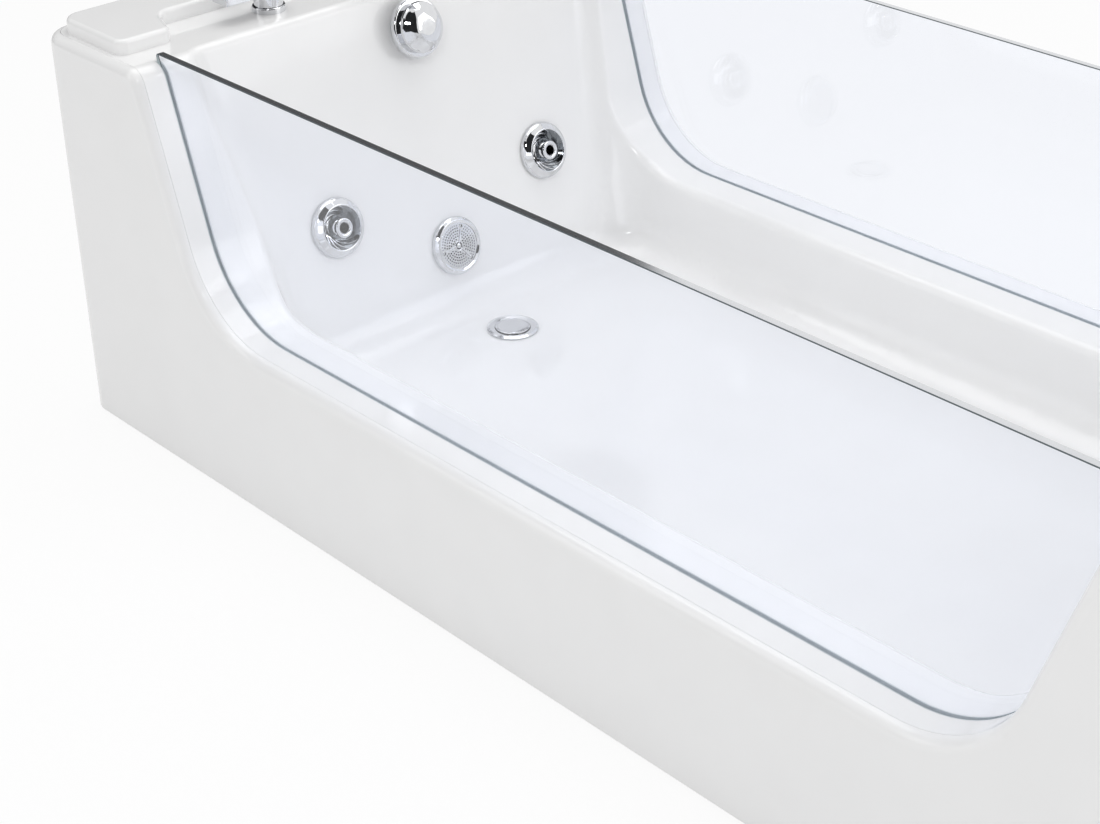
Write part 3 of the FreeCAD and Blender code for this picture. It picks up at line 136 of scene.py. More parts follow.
# Other finishes: two tones that drift into each other over patches of so many mm, a roughness that drifts
# with them, and a relief of so many mm where the surface has a grain
plainFinish = {"spread": 0.05, "metallic": 0.0, "grainStrength": 0.1, "grainDepth": 0.4}
finishes = {
    # polished top edge of a pane: light is trapped between the faces, so from above it is a tinted mirror
    "polishedGlassEdge": {"tones": ("#DEDFE2", "#D2D4D7"), "patch": 30, "roughness": 0.1, "metallic": 0.9},
    # edge of a pane ground for its channel: dull and pale, with the green of the glass in it
    "groundGlassEdge": {"tones": ("#C3D0D0", "#AFBFBF"), "patch": 12, "roughness": 0.4, "ior": 1.5},
    # narrow bevel round a pane, painted dark grey-green: painted shade for the dark line that the pane's edge
    # shows
    "arrisPaintedShade": {"tones": ("#5A6468", "#4A5458"), "patch": 12, "roughness": 0.5, "ior": 1.5},
    # plated chrome: a mirror with the faintest wipe marks
    "platedChrome": {"tones": ("#D8D9DC", "#E0E1E3"), "patch": 6, "roughness": 0.03, "spread": 0.03,
                     "metallic": 1.0},
    # chrome in the cups of the jets painted darker: painted shade for the dark in the cups, a darker mirror that
    # lets the vanes stand out
    "cupPaintedShadeChrome": {"tones": ("#84888C", "#686C70"), "patch": 8, "roughness": 0.08, "metallic": 1.0},
    # turned stainless steel: a soft bright shine
    "stainlessScrew": {"tones": ("#D0D1D2", "#BEBFC1"), "patch": 3, "roughness": 0.18, "metallic": 1.0},
    # screws' sockets painted near black: painted shade for the dark dot in each head
    "socketPaintedShade": {"tones": ("#2B2D30", "#1F2123"), "patch": 2, "roughness": 0.4, "metallic": 0.6},
    # moulded silicone: soft grey with a fine skin
    "siliconeSeal": {"tones": ("#D3D8D9", "#C6CCCE"), "patch": 5, "roughness": 0.45, "grain": 1.2},
    # zinc-plated steel: dull flakes of two greys
    "zincPlatedSteel": {"tones": ("#A9ADAE", "#8E9395"), "patch": 7, "roughness": 0.32, "spread": 0.15,
                        "metallic": 1.0},
    # extruded PVC: off-white and half matt
    "whitePvc": {"tones": ("#DEDEDA", "#D2D2CE"), "patch": 12, "roughness": 0.38, "grain": 0.8,
                 "grainStrength": 0.05},
    # soft air hose: pale and smooth
    "clearHose": {"tones": ("#D4DADB", "#C2CBCD"), "patch": 15, "roughness": 0.22},
    # machined brass: warm, with a fine shine
    "machinedBrass": {"tones": ("#C9A968", "#B8954F"), "patch": 4, "roughness": 0.25, "metallic": 1.0},
    # birch plywood: a long grain along the board
    "birchPlywood": {"tones": ("#CDAE84", "#B48F62"), "patch": 14, "roughness": 0.6, "grain": 1.5,
                     "stretch": (0.12, 1.0, 1.0)},
    # sprayed enamel on the motor: dark blue-grey with a slight orange peel
    "motorEnamel": {"tones": ("#3C4651", "#323B45"), "patch": 10, "roughness": 0.35, "grain": 1.0},
    # moulded ABS: black with a fine spark texture
    "blackAbs": {"tones": ("#1C1D1F", "#141516"), "patch": 8, "roughness": 0.5, "grain": 0.9},
    # moulded nylon: black and rather dull
    "blackNylon": {"tones": ("#1E1E20", "#161618"), "patch": 6, "roughness": 0.55, "grain": 1.0},
    # flag cloth: matt and nearly black, for the chrome to show
    "blackFlagCloth": {"tones": ("#26272A", "#1B1C1E"), "patch": 40, "roughness": 0.9},
}


def makeFinish(name, ownLook):
    look = {**plainFinish, **ownLook}
    material, tree = newMaterial(name)
    place = addNode(tree, "ShaderNodeTexCoord").outputs["Object"]
    if "stretch" in look:
        place = addNode(tree, "ShaderNodeMapping", inputs={
            "Vector": place, "Scale": look["stretch"]}).outputs["Vector"]
    drift = addNode(tree, "ShaderNodeTexNoise", inputs={
        "Vector": place, "Scale": perMm(look["patch"]), "Detail": 4.0})
    colour = addNode(tree, "ShaderNodeMix", {"data_type": "RGBA"}, {"Factor": drift.outputs["Fac"]})
    for socket, tone in zip("AB", look["tones"]):
        colour.inputs[socket].default_value = hexToLinear(tone)
    gloss = addNode(tree, "ShaderNodeMapRange", inputs={
        "Value": drift.outputs["Fac"], "To Min": look["roughness"],
        "To Max": look["roughness"] + look["spread"]})
    shader = addNode(tree, "ShaderNodeBsdfPrincipled", inputs={
        "Base Color": colour.outputs["Result"], "Roughness": gloss.outputs["Result"],
        "Metallic": look["metallic"]})
    if "ior" in look:
        shader.inputs["IOR"].default_value = look["ior"]
    if "grain" in look:
        grain = addNode(tree, "ShaderNodeTexNoise", inputs={
            "Vector": place, "Scale": perMm(look["grain"]), "Detail": 2.0})
        bump = addNode(tree, "ShaderNodeBump", inputs={
            "Height": grain.outputs["Fac"], "Strength": look["grainStrength"],
            "Distance": look["grainDepth"] * mm})
        tree.links.new(bump.outputs["Normal"], shader.inputs["Normal"])
    addNode(tree, "ShaderNodeOutputMaterial", inputs={"Surface": shader.outputs["BSDF"]})
    return material


acrylic = makeAcrylic("sanitaryAcrylic", acrylicLook)
glass = makeGlass("floatGlass", glassLook)
finish = {name: makeFinish(name, look) for name, look in finishes.items()}
chrome = finish["platedChrome"]
print("materials made,", len(bpy.data.materials))

slotLooks = {
    "white_acrylic": acrylic, "clear_glass": glass, "chrome": chrome, "grey_rubber": finish["siliconeSeal"],
    "plywood": finish["birchPlywood"], "zinc_steel": finish["zincPlatedSteel"],
    "foot_plastic": finish["blackNylon"], "cable_sheath": finish["blackNylon"],
    "screw_steel": finish["stainlessScrew"], "white_pvc": finish["whitePvc"],
    "clear_hose": finish["clearHose"], "brass": finish["machinedBrass"],
    "motor_paint": finish["motorEnamel"], "black_plastic": finish["blackAbs"],
}
record = frame["record"]
nodeSlots = {part["node"]: part["material_slot"] for part in record["subparts"]}
nodeBodies = {node: body for body, nodes in record["behaviour"]["bodies"].items() for node in nodes}
joints = {joint["name"]: joint for joint in frame["joints"]}


def newPiece(name, mesh, materials, body, replaced=()):
    piece = bpy.data.objects.new(name, mesh)
    scene.collection.objects.link(piece)
    mesh.materials.clear()
    for material in materials:
        mesh.materials.append(material)
    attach(piece, body)
    if replaced:
        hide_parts(*replaced)
    return piece


def settle(piece):
    # the evaluated mesh becomes the piece's own, and its modifiers go
    graph = bpy.context.evaluated_depsgraph_get()
    mesh = bpy.data.meshes.new_from_object(piece.evaluated_get(graph))
    piece.modifiers.clear()
    old = piece.data
    piece.data = mesh
    bpy.data.meshes.remove(old)
    mesh.name = piece.name
    return piece


def markSharp(shape, angle):
    limit = math.radians(angle)
    for face in shape.faces:
        face.smooth = True
    for edge in shape.edges:
        edge.smooth = edge.calc_face_angle(0.0) < limit


# Smooth copies of the CAD nodes, whose own meshes are loose triangles
smoothCopy = {"mergeDistance": 0.002 * mm, "faceWeight": 60}


def copyNode(node, look):
    mesh = frame["nodes"][node].data.copy()
    shape = bmesh.new()
    shape.from_mesh(mesh)
    bmesh.ops.remove_doubles(shape, verts=shape.verts, dist=look["mergeDistance"])
    markSharp(shape, sharpAngle)
    shape.to_mesh(mesh)
    shape.free()
    slotName = nodeSlots[node]
    piece = newPiece(node + "_smooth", mesh, [slotLooks[slotName]], nodeBodies[node], [node])
    weigh = piece.modifiers.new("weigh", "WEIGHTED_NORMAL")
    weigh.keep_sharp = True
    weigh.weight = look["faceWeight"]
    return settle(piece)


finePieces = ("suction_grille", "suction_screws", "drain_plug")
made = {}
for node in sorted(frame["nodes"]):
    if node not in finePieces:
        made[node] = copyNode(node, smoothCopy)
print("smooth copies made,", len(made))

# Panes with ground arrises painted dark as their shade; the top edge is polished, the edges in the channel are
# only ground
paneLook = {"arris": 1.0, "flatAngle": 0.2, "rimAngle": 60, "faceShare": 0.99, "edgeShare": 0.1,
            "topShare": 0.35, "edges": ("polishedGlassEdge", "groundGlassEdge", "arrisPaintedShade")}


def dressPane(node, look):
    shape = bmesh.new()
    shape.from_mesh(made[node].data)
    bmesh.ops.dissolve_limit(shape, angle_limit=math.radians(look["flatAngle"]), verts=shape.verts,
                             edges=shape.edges)
    rim = [edge for edge in shape.edges if edge.calc_face_angle(0.0) > math.radians(look["rimAngle"])
           and any(abs(face.normal.y) > look["faceShare"] for face in edge.link_faces)]
    bmesh.ops.bevel(shape, geom=rim, offset=look["arris"] * mm, segments=1, affect="EDGES")
    bmesh.ops.triangulate(shape, faces=[face for face in shape.faces if len(face.verts) > 4])
    for face in shape.faces:
        face.smooth = False
        if abs(face.normal.y) < look["edgeShare"]:
            face.material_index = 1 if face.normal.z > look["topShare"] else 2
        # the bevel faces take the dark arris finish: painted shade
        elif abs(face.normal.y) < look["faceShare"]:
            face.material_index = 3
    shape.to_mesh(made[node].data)
    shape.free()
    for edgeName in look["edges"]:
        made[node].data.materials.append(finish[edgeName])


for node in ("near_glass", "far_glass"):
    dressPane(node, paneLook)
print("panes dressed")


# Fine pieces are made flat and then carried to their wall: x down the slope, y across it, z out of it
def wallPlace(origin, normal):
    out = Vector(normal).normalized()
    across = Vector((0, 1, 0))
    turn = Matrix((across.cross(out), across, out)).transposed().to_4x4()
    return Matrix.Translation(origin) @ turn


def nodeSpan(node, place):
    back = place.inverted()
    spots = [back @ vertex.co for vertex in frame["nodes"][node].data.vertices]
    return [Vector(pick(spot[axis] for spot in spots) for axis in range(3)) for pick in (min, max)]


def finishShape(name, shape, angle=sharpAngle):
    markSharp(shape, angle)
    mesh = bpy.data.meshes.new(name)
    shape.to_mesh(mesh)
    shape.free()
    return mesh


def spinProfile(name, profile, steps=96):
    # profile gives radius and height in millimetres; a radius of 0 is a pole
    shape = bmesh.new()
    rings = []
    for radius, height in profile:
        turns = steps if radius > 0 else 1
        angles = [2 * math.pi * step / turns for step in range(turns)]
        rings.append([shape.verts.new((radius * mm * math.cos(a), radius * mm * math.sin(a), height * mm))
                      for a in angles])
    for first, second in zip(rings, rings[1:]):
        for step in range(steps):
            ahead = (step + 1) % steps
            corners = [first[step % len(first)], first[ahead % len(first)], second[ahead % len(second)],
                       second[step % len(second)]]
            shape.faces.new(list(dict.fromkeys(corners)))
    bmesh.ops.remove_doubles(shape, verts=shape.verts, dist=weldGap)
    bmesh.ops.recalc_face_normals(shape, faces=shape.faces)
    return finishShape(name, shape)


barSharpAngle = 50  # the edges along a vane or a rib are softer than this


def sweptBar(name, sections):
    # a closed bar through a list of sections, each a loop of points in millimetres
    shape = bmesh.new()
    rings = [[shape.verts.new(Vector(point) * mm) for point in section] for section in sections]
    count = len(rings[0])
    for first, second in zip(rings, rings[1:]):
        for step in range(count):
            ahead = (step + 1) % count
            shape.faces.new((first[step], first[ahead], second[ahead], second[step]))
    shape.faces.new(rings[0])
    shape.faces.new(rings[-1])
    bmesh.ops.recalc_face_normals(shape, faces=shape.faces)
    return finishShape(name, shape, barSharpAngle)


def newTree(name, sockets):
    tree = bpy.data.node_groups.new(name, "GeometryNodeTree")
    tree.interface.new_socket(name="Geometry", in_out="INPUT", socket_type="NodeSocketGeometry")
    for label, kind in sockets.items():
        tree.interface.new_socket(name=label, in_out="INPUT", socket_type="NodeSocket" + kind)
    tree.interface.new_socket(name="Geometry", in_out="OUTPUT", socket_type="NodeSocketGeometry")
    return tree, addNode(tree, "NodeGroupInput").outputs


def finishTree(tree, geometry, material):
    real = addNode(tree, "GeometryNodeRealizeInstances", inputs={"Geometry": geometry})
    dressed = addNode(tree, "GeometryNodeSetMaterial", inputs={
        "Geometry": real.outputs[0], "Material": material})
    addNode(tree, "NodeGroupOutput", inputs={"Geometry": dressed.outputs[0]})
    return tree


def grow(name, mesh, tree, values):
    holder = bpy.data.objects.new(name, mesh)
    scene.collection.objects.link(holder)
    modifier = holder.modifiers.new(name, "NODES")
    modifier.node_group = tree
    for item in tree.interface.items_tree:
        if item.in_out == "INPUT" and item.name in values:
            modifier[item.identifier] = values[item.name]
    graph = bpy.context.evaluated_depsgraph_get()
    grown = bpy.data.meshes.new_from_object(holder.evaluated_get(graph))
    bpy.data.objects.remove(holder)
    grown.name = name
    return grown


# One shape repeated round the z axis: vanes, ribs and screws
def makeRingTree():
    tree, given = newTree("repeatRound", {"Count": "Int", "First Angle": "Float", "Finish": "Material"})
    points = addNode(tree, "GeometryNodePoints", inputs={"Count": given["Count"]})
    step = addNode(tree, "ShaderNodeMath", {"operation": "DIVIDE"}, {0: 2 * math.pi, 1: given["Count"]})
    index = addNode(tree, "GeometryNodeInputIndex")
    angle = addNode(tree, "ShaderNodeMath", {"operation": "MULTIPLY_ADD"}, {
        0: index.outputs[0], 1: step.outputs[0], 2: given["First Angle"]})
    turn = addNode(tree, "ShaderNodeCombineXYZ", inputs={"Z": angle.outputs[0]})
    rotation = addNode(tree, "FunctionNodeEulerToRotation", inputs={"Euler": turn.outputs[0]})
    copies = addNode(tree, "GeometryNodeInstanceOnPoints", inputs={
        "Points": points.outputs[0], "Instance": given["Geometry"], "Rotation": rotation.outputs[0]})
    return finishTree(tree, copies.outputs[0], given["Finish"])


# Disc with a bore in its middle and a small hole at each given point
discSides = {"plate": 128, "drill": 14, "bore": 64}


def makeGrilleTree(sides):
    tree, given = newTree("perforatedDisc", {
        "Radius": "Float", "Thickness": "Float", "Hole Radius": "Float", "Bore": "Float",
        "Drill Length": "Float", "Finish": "Material"})
    plate = addNode(tree, "GeometryNodeMeshCylinder", inputs={
        "Vertices": sides["plate"], "Radius": given["Radius"], "Depth": given["Thickness"]})
    drill = addNode(tree, "GeometryNodeMeshCylinder", inputs={
        "Vertices": sides["drill"], "Radius": given["Hole Radius"], "Depth": given["Drill Length"]})
    bore = addNode(tree, "GeometryNodeMeshCylinder", inputs={
        "Vertices": sides["bore"], "Radius": given["Bore"], "Depth": given["Drill Length"]})
    spots = addNode(tree, "GeometryNodeMeshToPoints", inputs={"Mesh": given["Geometry"]})
    drills = addNode(tree, "GeometryNodeInstanceOnPoints", inputs={
        "Points": spots.outputs[0], "Instance": drill.outputs["Mesh"]})
    cutters = addNode(tree, "GeometryNodeJoinGeometry")
    tree.links.new(drills.outputs[0], cutters.inputs[0])
    tree.links.new(bore.outputs["Mesh"], cutters.inputs[0])
    solid = addNode(tree, "GeometryNodeRealizeInstances", inputs={"Geometry": cutters.outputs[0]})
    drilled = addNode(tree, "GeometryNodeMeshBoolean", {"operation": "DIFFERENCE", "solver": "EXACT"}, {
        "Mesh 1": plate.outputs["Mesh"], "Mesh 2": solid.outputs[0]})
    return finishTree(tree, drilled.outputs["Mesh"], given["Finish"])


ringTree = makeRingTree()
grilleTree = makeGrilleTree(discSides)

# Suction cover on the tap wall: sizes in millimetres, its first spoke from the way down the wall in degrees
grilleLook = {"radius": 31.35, "thickness": 2.4, "drillLength": 7.2, "holeRadius": 1.2, "firstRing": 9.2,
              "ringPitch": 3.7, "ringCount": 6, "holePitch": 3.75, "spokes": 3, "firstAngle": 37,
              "spokeHalf": 2.1, "screwCircle": 27.0, "screwClear": 4.3, "bore": 5.2}
# Its ribs and its hub, with heights from the plate's face
ribLook = {"inner": 3.2, "outer": 23.5, "fall": 1.2, "wide": 1.9, "crestShare": 0.7, "high": 0.9, "tip": 0.1,
           "sink": 1.5}
hubLook = {"radius": 3.7, "crown": 1.3, "flatShare": 0.6, "flat": 1.2, "round": 0.3, "shoulder": 0.8,
           "side": 0.2, "sink": 1.8, "steps": 48}
hubRingLook = {"radius": 6.1, "halfWide": 0.9, "halfHigh": 0.8, "lift": 0.3, "sectionSteps": 12, "steps": 64}
tapWall = joints["near_foot_jet_turn"]["axis"]


def holeSpots(look):
    # rings of holes, left out along the spokes and round the screws
    share = 2 * math.pi / look["spokes"]
    spots = []
    for ring in range(look["ringCount"]):
        radius = look["firstRing"] + ring * look["ringPitch"]
        count = math.floor(2 * math.pi * radius / look["holePitch"])
        for step in range(count):
            angle = 2 * math.pi * step / count
            aside = ((angle - math.radians(look["firstAngle"]) + share / 2) % share - share / 2) * radius
            toScrew = math.hypot(radius - look["screwCircle"], aside)
            if abs(aside) > look["spokeHalf"] and toScrew > look["screwClear"]:
                spots.append((radius * mm * math.cos(angle), radius * mm * math.sin(angle), 0))
    mesh = bpy.data.meshes.new("holeSpots")
    mesh.from_pydata(spots, [], [])
    return mesh


def makeRib(look):
    half = look["wide"] / 2
    crest = half * look["crestShare"]
    sections = []
    for along, tall in ((look["inner"], look["high"]), (look["outer"] - look["fall"], look["high"]),
                        (look["outer"], look["tip"])):
        sections.append([(along, -half, -look["sink"]), (along, half, -look["sink"]), (along, crest, tall),
                         (along, -crest, tall)])
    return sweptBar("rib", sections)


def makeHub(look):
    edge = look["radius"]
    return spinProfile("suctionHub", [
        (0, look["crown"]), (edge * look["flatShare"], look["flat"]),
        (edge - look["round"], look["shoulder"]), (edge, look["side"]), (edge, -look["sink"]),
        (0, -look["sink"])], look["steps"])


def makeHubRing(look):
    count = look["sectionSteps"]
    angles = [2 * math.pi * step / count for step in range(count + 1)]
    return spinProfile("suctionHubRing", [
        (look["radius"] + look["halfWide"] * math.cos(a), look["lift"] + look["halfHigh"] * math.sin(a))
        for a in angles], look["steps"])


def makeGrille(look):
    rough = wallPlace((0, 0, 0), tapWall)
    low, high = nodeSpan("suction_grille", rough)
    thickness = look["thickness"] * mm
    place = rough @ Matrix.Translation(((low.x + high.x) / 2, (low.y + high.y) / 2, low.z + thickness))
    plate = grow("suctionPlate", holeSpots(look), grilleTree, {
        "Radius": look["radius"] * mm, "Thickness": thickness, "Hole Radius": look["holeRadius"] * mm,
        "Bore": look["bore"] * mm, "Drill Length": look["drillLength"] * mm, "Finish": chrome})
    plate.transform(Matrix.Translation((0, 0, -thickness / 2)))
    ribs = grow("suctionRibs", makeRib(ribLook), ringTree, {
        "Count": look["spokes"], "First Angle": math.radians(look["firstAngle"]), "Finish": chrome})
    extras = [ribs, makeHub(hubLook), makeHubRing(hubRingLook)]
    for mesh in [plate] + extras:
        mesh.transform(place)
    newPiece("suction_plate_fine", plate, [chrome], "tub", ["suction_grille"])
    for mesh in extras:
        newPiece(mesh.name, mesh, [chrome], "tub")
    print("suction plate,", len(plate.polygons), "faces")
    return place


suctionPlace = makeGrille(grilleLook)

# Screws of the suction cover: raised heads with a deep socket, painted dark as its shade; sizes in millimetres
screwLook = {"head": 2.9, "high": 1.5, "side": 0.5, "crownRun": 0.7, "crownFall": 0.1, "socket": 1.9,
             "deep": 3.2, "chamfer": 0.25, "shank": 1.6, "long": 5.5, "tip": 0.4, "steps": 36, "slack": 0.05}


def makeScrews(look, place):
    top, end = look["high"], -look["long"]
    socketFloor = top - look["deep"]
    profile = [(0, socketFloor), (look["socket"], socketFloor), (look["socket"], top - look["chamfer"]),
               (look["socket"] + look["chamfer"], top),
               (look["head"] - look["crownRun"], top - look["crownFall"]), (look["head"], look["side"]),
               (look["head"], 0.0), (look["shank"], 0.0),
               (look["shank"], end + look["tip"]), (look["shank"] - look["tip"], end), (0, end)]
    screw = spinProfile("socketScrew", profile, look["steps"])
    # faces in the socket get the near-black finish: painted shade
    socketShadeFaces = {face.index for face in screw.polygons if face.center.z > (socketFloor - look["slack"]) * mm
                and math.hypot(face.center.x, face.center.y) < (look["socket"] + look["slack"]) * mm}
    faceCount = len(screw.polygons)
    screw.transform(Matrix.Translation((grilleLook["screwCircle"] * mm, 0, 0)))
    steel = finish["stainlessScrew"]
    firstAngle = math.radians(grilleLook["firstAngle"])
    screws = grow("socketScrews", screw, ringTree, {
        "Count": grilleLook["spokes"], "First Angle": firstAngle, "Finish": steel})
    screws.transform(place)
    piece = newPiece("suction_screws_fine", screws, [steel, finish["socketPaintedShade"]], "tub",
                     ["suction_screws"])
    for face in piece.data.polygons:
        # each copy of the screw keeps the order of its faces
        face.material_index = 1 if face.index % faceCount in socketShadeFaces else 0


makeScrews(screwLook, suctionPlace)

# Jets: a cup painted darker as its shade in each chrome ring, with bright spiral vanes on its wall; sizes in
# millimetres
jetSides = ("near_foot", "far_foot", "near_back", "far_back")
cupLook = {"foot": 16.5, "floor": 1.5, "crest": 30.0, "proud": 14.5, "edge": 28.9, "facing": 0.05}
vaneLook = {"count": 11, "inner": 17.6, "outer": 28.6, "twist": 75, "high": 2.8, "wide": 2.4, "steps": 18,
            "sink": 0.6, "lowShare": 0.25, "swellStart": 0.2, "shoulderWide": 0.55, "shoulderHigh": 0.8}
# A rounded lip on each nozzle's mouth
lipLook = {"bore": 7.6, "radius": 13.2, "back": 14.6, "front": 18.8, "round": 1.6, "sectionSteps": 24,
           "steps": 64}


def makeVane(look, cup):
    rise = (cup["proud"] - cup["floor"]) / (cup["crest"] - cup["foot"])
    slope = math.atan(rise)
    sections = []
    for step in range(look["steps"] + 1):
        part = step / look["steps"]
        radius = look["inner"] + (look["outer"] - look["inner"]) * part
        height = cup["floor"] + (radius - cup["foot"]) * rise
        angle = math.radians(look["twist"] * part)
        outward = Vector((math.cos(angle), math.sin(angle), 0))
        aside = Vector((-math.sin(angle), math.cos(angle), 0)) * look["wide"] / 2
        lift = Vector((0, 0, 1)) * math.cos(slope) - outward * math.sin(slope)
        base = outward * radius + Vector((0, 0, height))
        swell = math.sin(math.pi * min(1.0, look["swellStart"] + (1 - look["swellStart"]) * part))
        top = lift * look["high"] * (look["lowShare"] + (1 - look["lowShare"]) * swell)
        shoulder = aside * look["shoulderWide"]
        shoulderTop = top * look["shoulderHigh"]
        foot = base - lift * look["sink"]
        sections.append([foot - aside, foot + aside, base + shoulder + shoulderTop, base + top,
                         base - shoulder + shoulderTop])
    return sweptBar("jetVane", sections)


# the cup's wall gets the darker chrome: painted shade in the hollow of each jet
def paintCupShade(piece, place, cup):
    back = place.inverted()
    piece.data.materials.append(finish["cupPaintedShadeChrome"])
    for face in piece.data.polygons:
        spot = back @ face.center
        facing = back.to_3x3() @ face.normal
        inside = math.hypot(spot.x, spot.y) < cup["edge"] * mm
        if inside and spot.z > cup["floor"] * mm / 2 and facing.z > cup["facing"]:
            face.material_index = 1


def makeNozzleLip(look):
    middle, half = (look["bore"] + look["radius"]) / 2, (look["radius"] - look["bore"]) / 2
    deep = (look["front"] - look["back"]) / 2
    flatWide, flatDeep = half - look["round"], deep - look["round"]
    profile = []
    for step in range(look["sectionSteps"] + 1):
        angle = 2 * math.pi * step / look["sectionSteps"]
        side, ahead = math.copysign(1, math.cos(angle)), math.copysign(1, math.sin(angle))
        profile.append((middle + side * flatWide + look["round"] * math.cos(angle),
                        look["back"] + deep + ahead * flatDeep + look["round"] * math.sin(angle)))
    return spinProfile("nozzleLip", profile, look["steps"])


jetPlaces = {}
for side in jetSides:
    joint = joints[side + "_jet_turn"]
    jetPlaces[side] = wallPlace(joint["pos_m"], joint["axis"])
    paintCupShade(made[side + "_jet_ring"], jetPlaces[side], cupLook)
    vanes = grow(side + "_jet_vanes", makeVane(vaneLook, cupLook), ringTree, {
        "Count": vaneLook["count"], "First Angle": 0.0, "Finish": chrome})
    vanes.transform(jetPlaces[side])
    newPiece(side + "_jet_vanes", vanes, [chrome], side + "_jet_ring")
for side, place in jetPlaces.items():
    lip = makeNozzleLip(lipLook)
    lip.transform(place)
    newPiece(side + "_jet_nozzle_lip", lip, [chrome], side + "_jet_nozzle")
print("jets dressed,", len(jetSides))

# Pop-up plug: a low dome with a groove near its edge, on its stem; sizes in millimetres, dome and brims as
# shares of the radius and the crown
plugLook = {"radius": 23.4, "crown": 1.9, "dome": ((0.0, 1.0), (0.4, 0.97), (0.75, 0.84)), "innerBrim": 0.68,
            "outerBrim": 0.62, "edgeBrim": 0.5, "grooveFrom": 20.7, "grooveTo": 21.2, "grooveWall": 0.3,
            "grooveLift": 0.5, "edgeRound": 0.5, "underCut": 0.4, "seat": 3.1, "stem": 4.0, "stemEnd": 32.0}


def makePlug(look):
    low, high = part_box("drain_plug")
    rise, edge, seat, end = look["crown"], look["radius"], look["seat"], -look["stemEnd"]
    grooveFloor = seat + look["grooveLift"]
    profile = [(edge * out, seat + rise * up) for out, up in look["dome"]]
    profile += [(look["grooveFrom"] - look["grooveWall"], seat + rise * look["innerBrim"]),
                (look["grooveFrom"], grooveFloor), (look["grooveTo"], grooveFloor),
                (look["grooveTo"] + look["grooveWall"], seat + rise * look["outerBrim"]),
                (edge - look["edgeRound"], seat + rise * look["edgeBrim"]), (edge, seat + look["edgeRound"]),
                (edge - look["underCut"], seat), (look["stem"], seat), (look["stem"], end), (0, end)]
    plug = spinProfile("popUpPlug", profile)
    floor = low[2] - end * mm
    plug.transform(Matrix.Translation(((low[0] + high[0]) / 2, (low[1] + high[1]) / 2, floor)))
    newPiece("drain_plug_fine", plug, [chrome], "drain_plug", ["drain_plug"])


makePlug(plugLook)
print("fine pieces made")

# Camera at the photograph's place: angles in degrees, place and clipping in metres
cameraSet = {"lens": 68.74, "sensor": 36.0, "yaw": 47.25, "pitch": 29.95, "roll": -0.83,
             "place": (1.394, -1.677, 1.432), "clipStart": 0.05, "clipEnd": 60.0}


def makeCamera(look):
    yaw, pitch, roll = (math.radians(look[key]) for key in ("yaw", "pitch", "roll"))
    level = Vector((math.cos(yaw), math.sin(yaw), 0))
    ahead = Vector((-math.sin(yaw), math.cos(yaw), 0))
    forward = ahead * math.cos(pitch) - Vector((0, 0, math.sin(pitch)))
    upright = ahead * math.sin(pitch) + Vector((0, 0, math.cos(pitch)))
    right = level * math.cos(roll) + upright * math.sin(roll)
    top = upright * math.cos(roll) - level * math.sin(roll)
    data = bpy.data.cameras.new("photoCamera")
    data.sensor_fit = "HORIZONTAL"
    data.sensor_width = look["sensor"]
    data.lens = look["lens"]
    data.clip_start = look["clipStart"]
    data.clip_end = look["clipEnd"]
    camera = bpy.data.objects.new("photoCamera", data)
    scene.collection.objects.link(camera)
    turn = Matrix((right, top, -forward)).transposed().to_4x4()
    camera.matrix_world = Matrix.Translation(look["place"]) @ turn
    scene.camera = camera


makeCamera(cameraSet)

# Studio: white all round to the eye, in mirrors and through glass, with black flags for the chrome to show;
# sizes in metres, power in watts
studio = {"seen": 1.0, "light": 0.62, "floorColour": "#F4F4F4", "floorSize": 44.0, "floorGlow": 0.9}
flags = {
    "tapEndFlag": {"low": 0.35, "foot": ((-2.7, -2.6), (-2.7, 2.55)),
                   "high": 3.6, "head": ((-2.7, -2.6), (-2.7, 2.55))},
    "cameraFlag": {"low": 0.1, "foot": ((2.95, 0.2), (2.6, -2.8)),
                   "high": 5.0, "head": ((0.7, 0.15), (0.5, -2.8))},
    "nearFlag": {"low": 0.1, "foot": ((2.6, -2.9), (-2.2, -3.9)),
                 "high": 4.5, "head": ((2.6, -2.9), (-2.2, -3.9))},
}
lamps = {
    "key": {"place": (1.0, -1.75, 2.15), "aim": (-0.5, 0, 0.3), "size": (0.4, 0.4), "power": 7},
    "overhead": {"place": (-1.0, 0.4, 3.0), "aim": (-0.2, 0, 0.2), "size": (2.6, 1.6), "power": 24},
    "backrestSide": {"place": (2.3, 1.7, 1.9), "aim": (-0.3, 0, 0.3), "size": (1.6, 2.0), "power": 17},
    "nearSide": {"place": (-1.6, -3.2, 1.6), "aim": (-0.2, 0, 0.2), "size": (2.2, 1.8), "power": 7},
    "cameraSide": {"place": (2.9, -2.3, 1.5), "aim": (-0.4, 0, 0.3), "size": (1.4, 1.4), "power": 7},
}


def shareSeen(tree):
    # 1 for rays that come from the eye, a mirror or a pane, 0 for those that carry light
    path = addNode(tree, "ShaderNodeLightPath")
    straight = addNode(tree, "ShaderNodeMath", {"operation": "MAXIMUM"}, {
        0: path.outputs["Is Camera Ray"], 1: path.outputs["Is Transmission Ray"]})
    either = addNode(tree, "ShaderNodeMath", {"operation": "MAXIMUM"}, {
        0: straight.outputs[0], 1: path.outputs["Is Glossy Ray"]})
    return either.outputs[0]


def makeWorld(look):
    world = bpy.data.worlds.new("studioWhite")
    world.use_nodes = True
    tree = world.node_tree
    tree.nodes.clear()
    strength = addNode(tree, "ShaderNodeMapRange", inputs={
        "Value": shareSeen(tree), "To Min": look["light"], "To Max": look["seen"]})
    background = addNode(tree, "ShaderNodeBackground", inputs={
        "Color": (1, 1, 1, 1), "Strength": strength.outputs["Result"]})
    addNode(tree, "ShaderNodeOutputWorld", inputs={"Surface": background.outputs["Background"]})
    scene.world = world


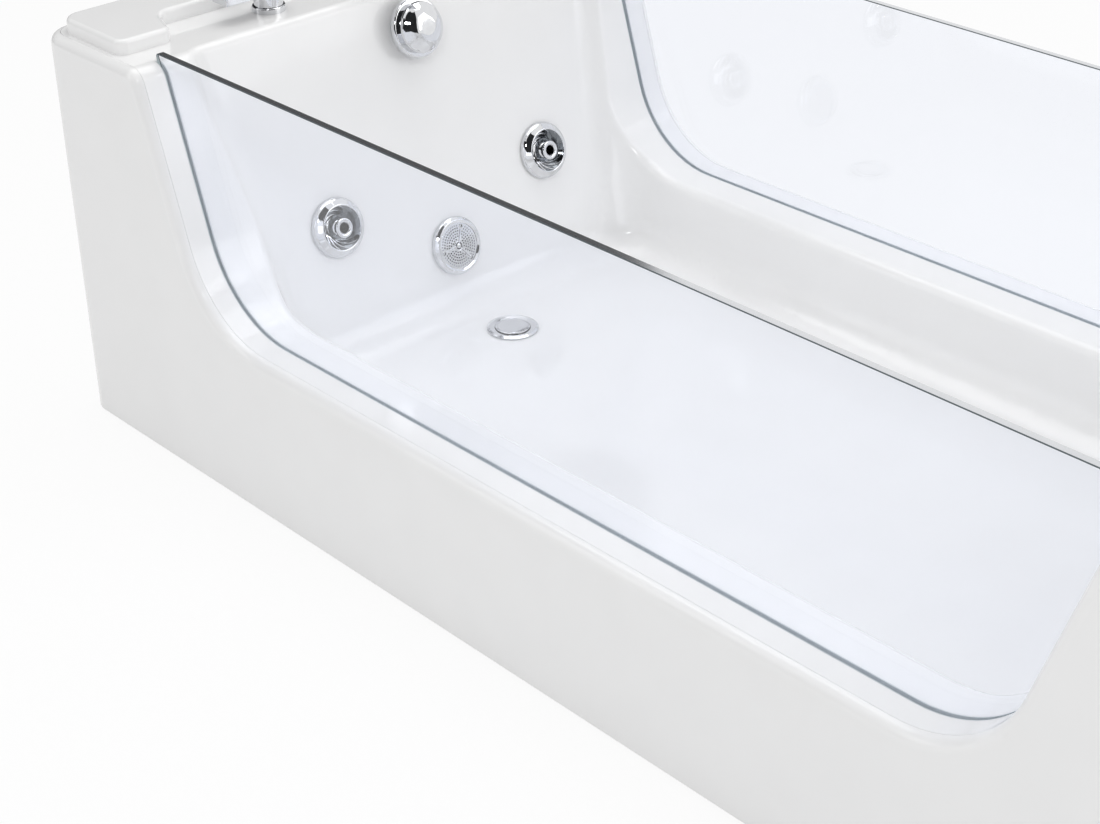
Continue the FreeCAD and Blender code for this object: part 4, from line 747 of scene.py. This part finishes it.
def addCard(name, corners, material):
    mesh = bpy.data.meshes.new(name)
    mesh.from_pydata(corners, [], [(0, 1, 2, 3)])
    mesh.materials.append(material)
    card = bpy.data.objects.new(name, mesh)
    scene.collection.objects.link(card)
    return card


# Matt white paper: white to the eye, and it keeps a soft shadow under the tub
def makeFloor(look):
    material, tree = newMaterial("paperFloor")
    paper = addNode(tree, "ShaderNodeBsdfDiffuse", inputs={"Color": hexToLinear(look["floorColour"])})
    glow = addNode(tree, "ShaderNodeEmission", inputs={"Color": (1, 1, 1, 1), "Strength": look["seen"]})
    share = addNode(tree, "ShaderNodeMath", {"operation": "MULTIPLY"}, {
        0: shareSeen(tree), 1: look["floorGlow"]})
    mix = addNode(tree, "ShaderNodeMixShader", inputs={0: share.outputs[0]})
    tree.links.new(paper.outputs["BSDF"], mix.inputs[1])
    tree.links.new(glow.outputs["Emission"], mix.inputs[2])
    addNode(tree, "ShaderNodeOutputMaterial", inputs={"Surface": mix.outputs["Shader"]})
    half = look["floorSize"] / 2
    corners = [(-half, -half, 0), (half, -half, 0), (half, half, 0), (-half, half, 0)]
    addCard("paperFloor", corners, material)


def addFlag(name, look, material):
    # seen in mirrors alone, so it takes no light from the object
    corners = [spot + (look["low"],) for spot in look["foot"]]
    corners += [spot + (look["high"],) for spot in reversed(look["head"])]
    flag = addCard(name, corners, material)
    for kind in ("camera", "diffuse", "transmission", "volume_scatter", "shadow"):
        setattr(flag, "visible_" + kind, False)


def addLamp(name, look):
    data = bpy.data.lights.new(name, "AREA")
    data.shape = "RECTANGLE"
    data.size, data.size_y = look["size"]
    data.energy = look["power"]
    lamp = bpy.data.objects.new(name, data)
    scene.collection.objects.link(lamp)
    lamp.location = look["place"]
    aim = Vector(look["aim"]) - Vector(look["place"])
    lamp.rotation_euler = aim.to_track_quat("-Z", "Y").to_euler()


makeWorld(studio)
makeFloor(studio)
for name, look in flags.items():
    addFlag(name, look, finish["blackFlagCloth"])
for name, look in lamps.items():
    addLamp(name, look)
scene.view_settings.view_transform = "Standard"
print("camera and studio set")
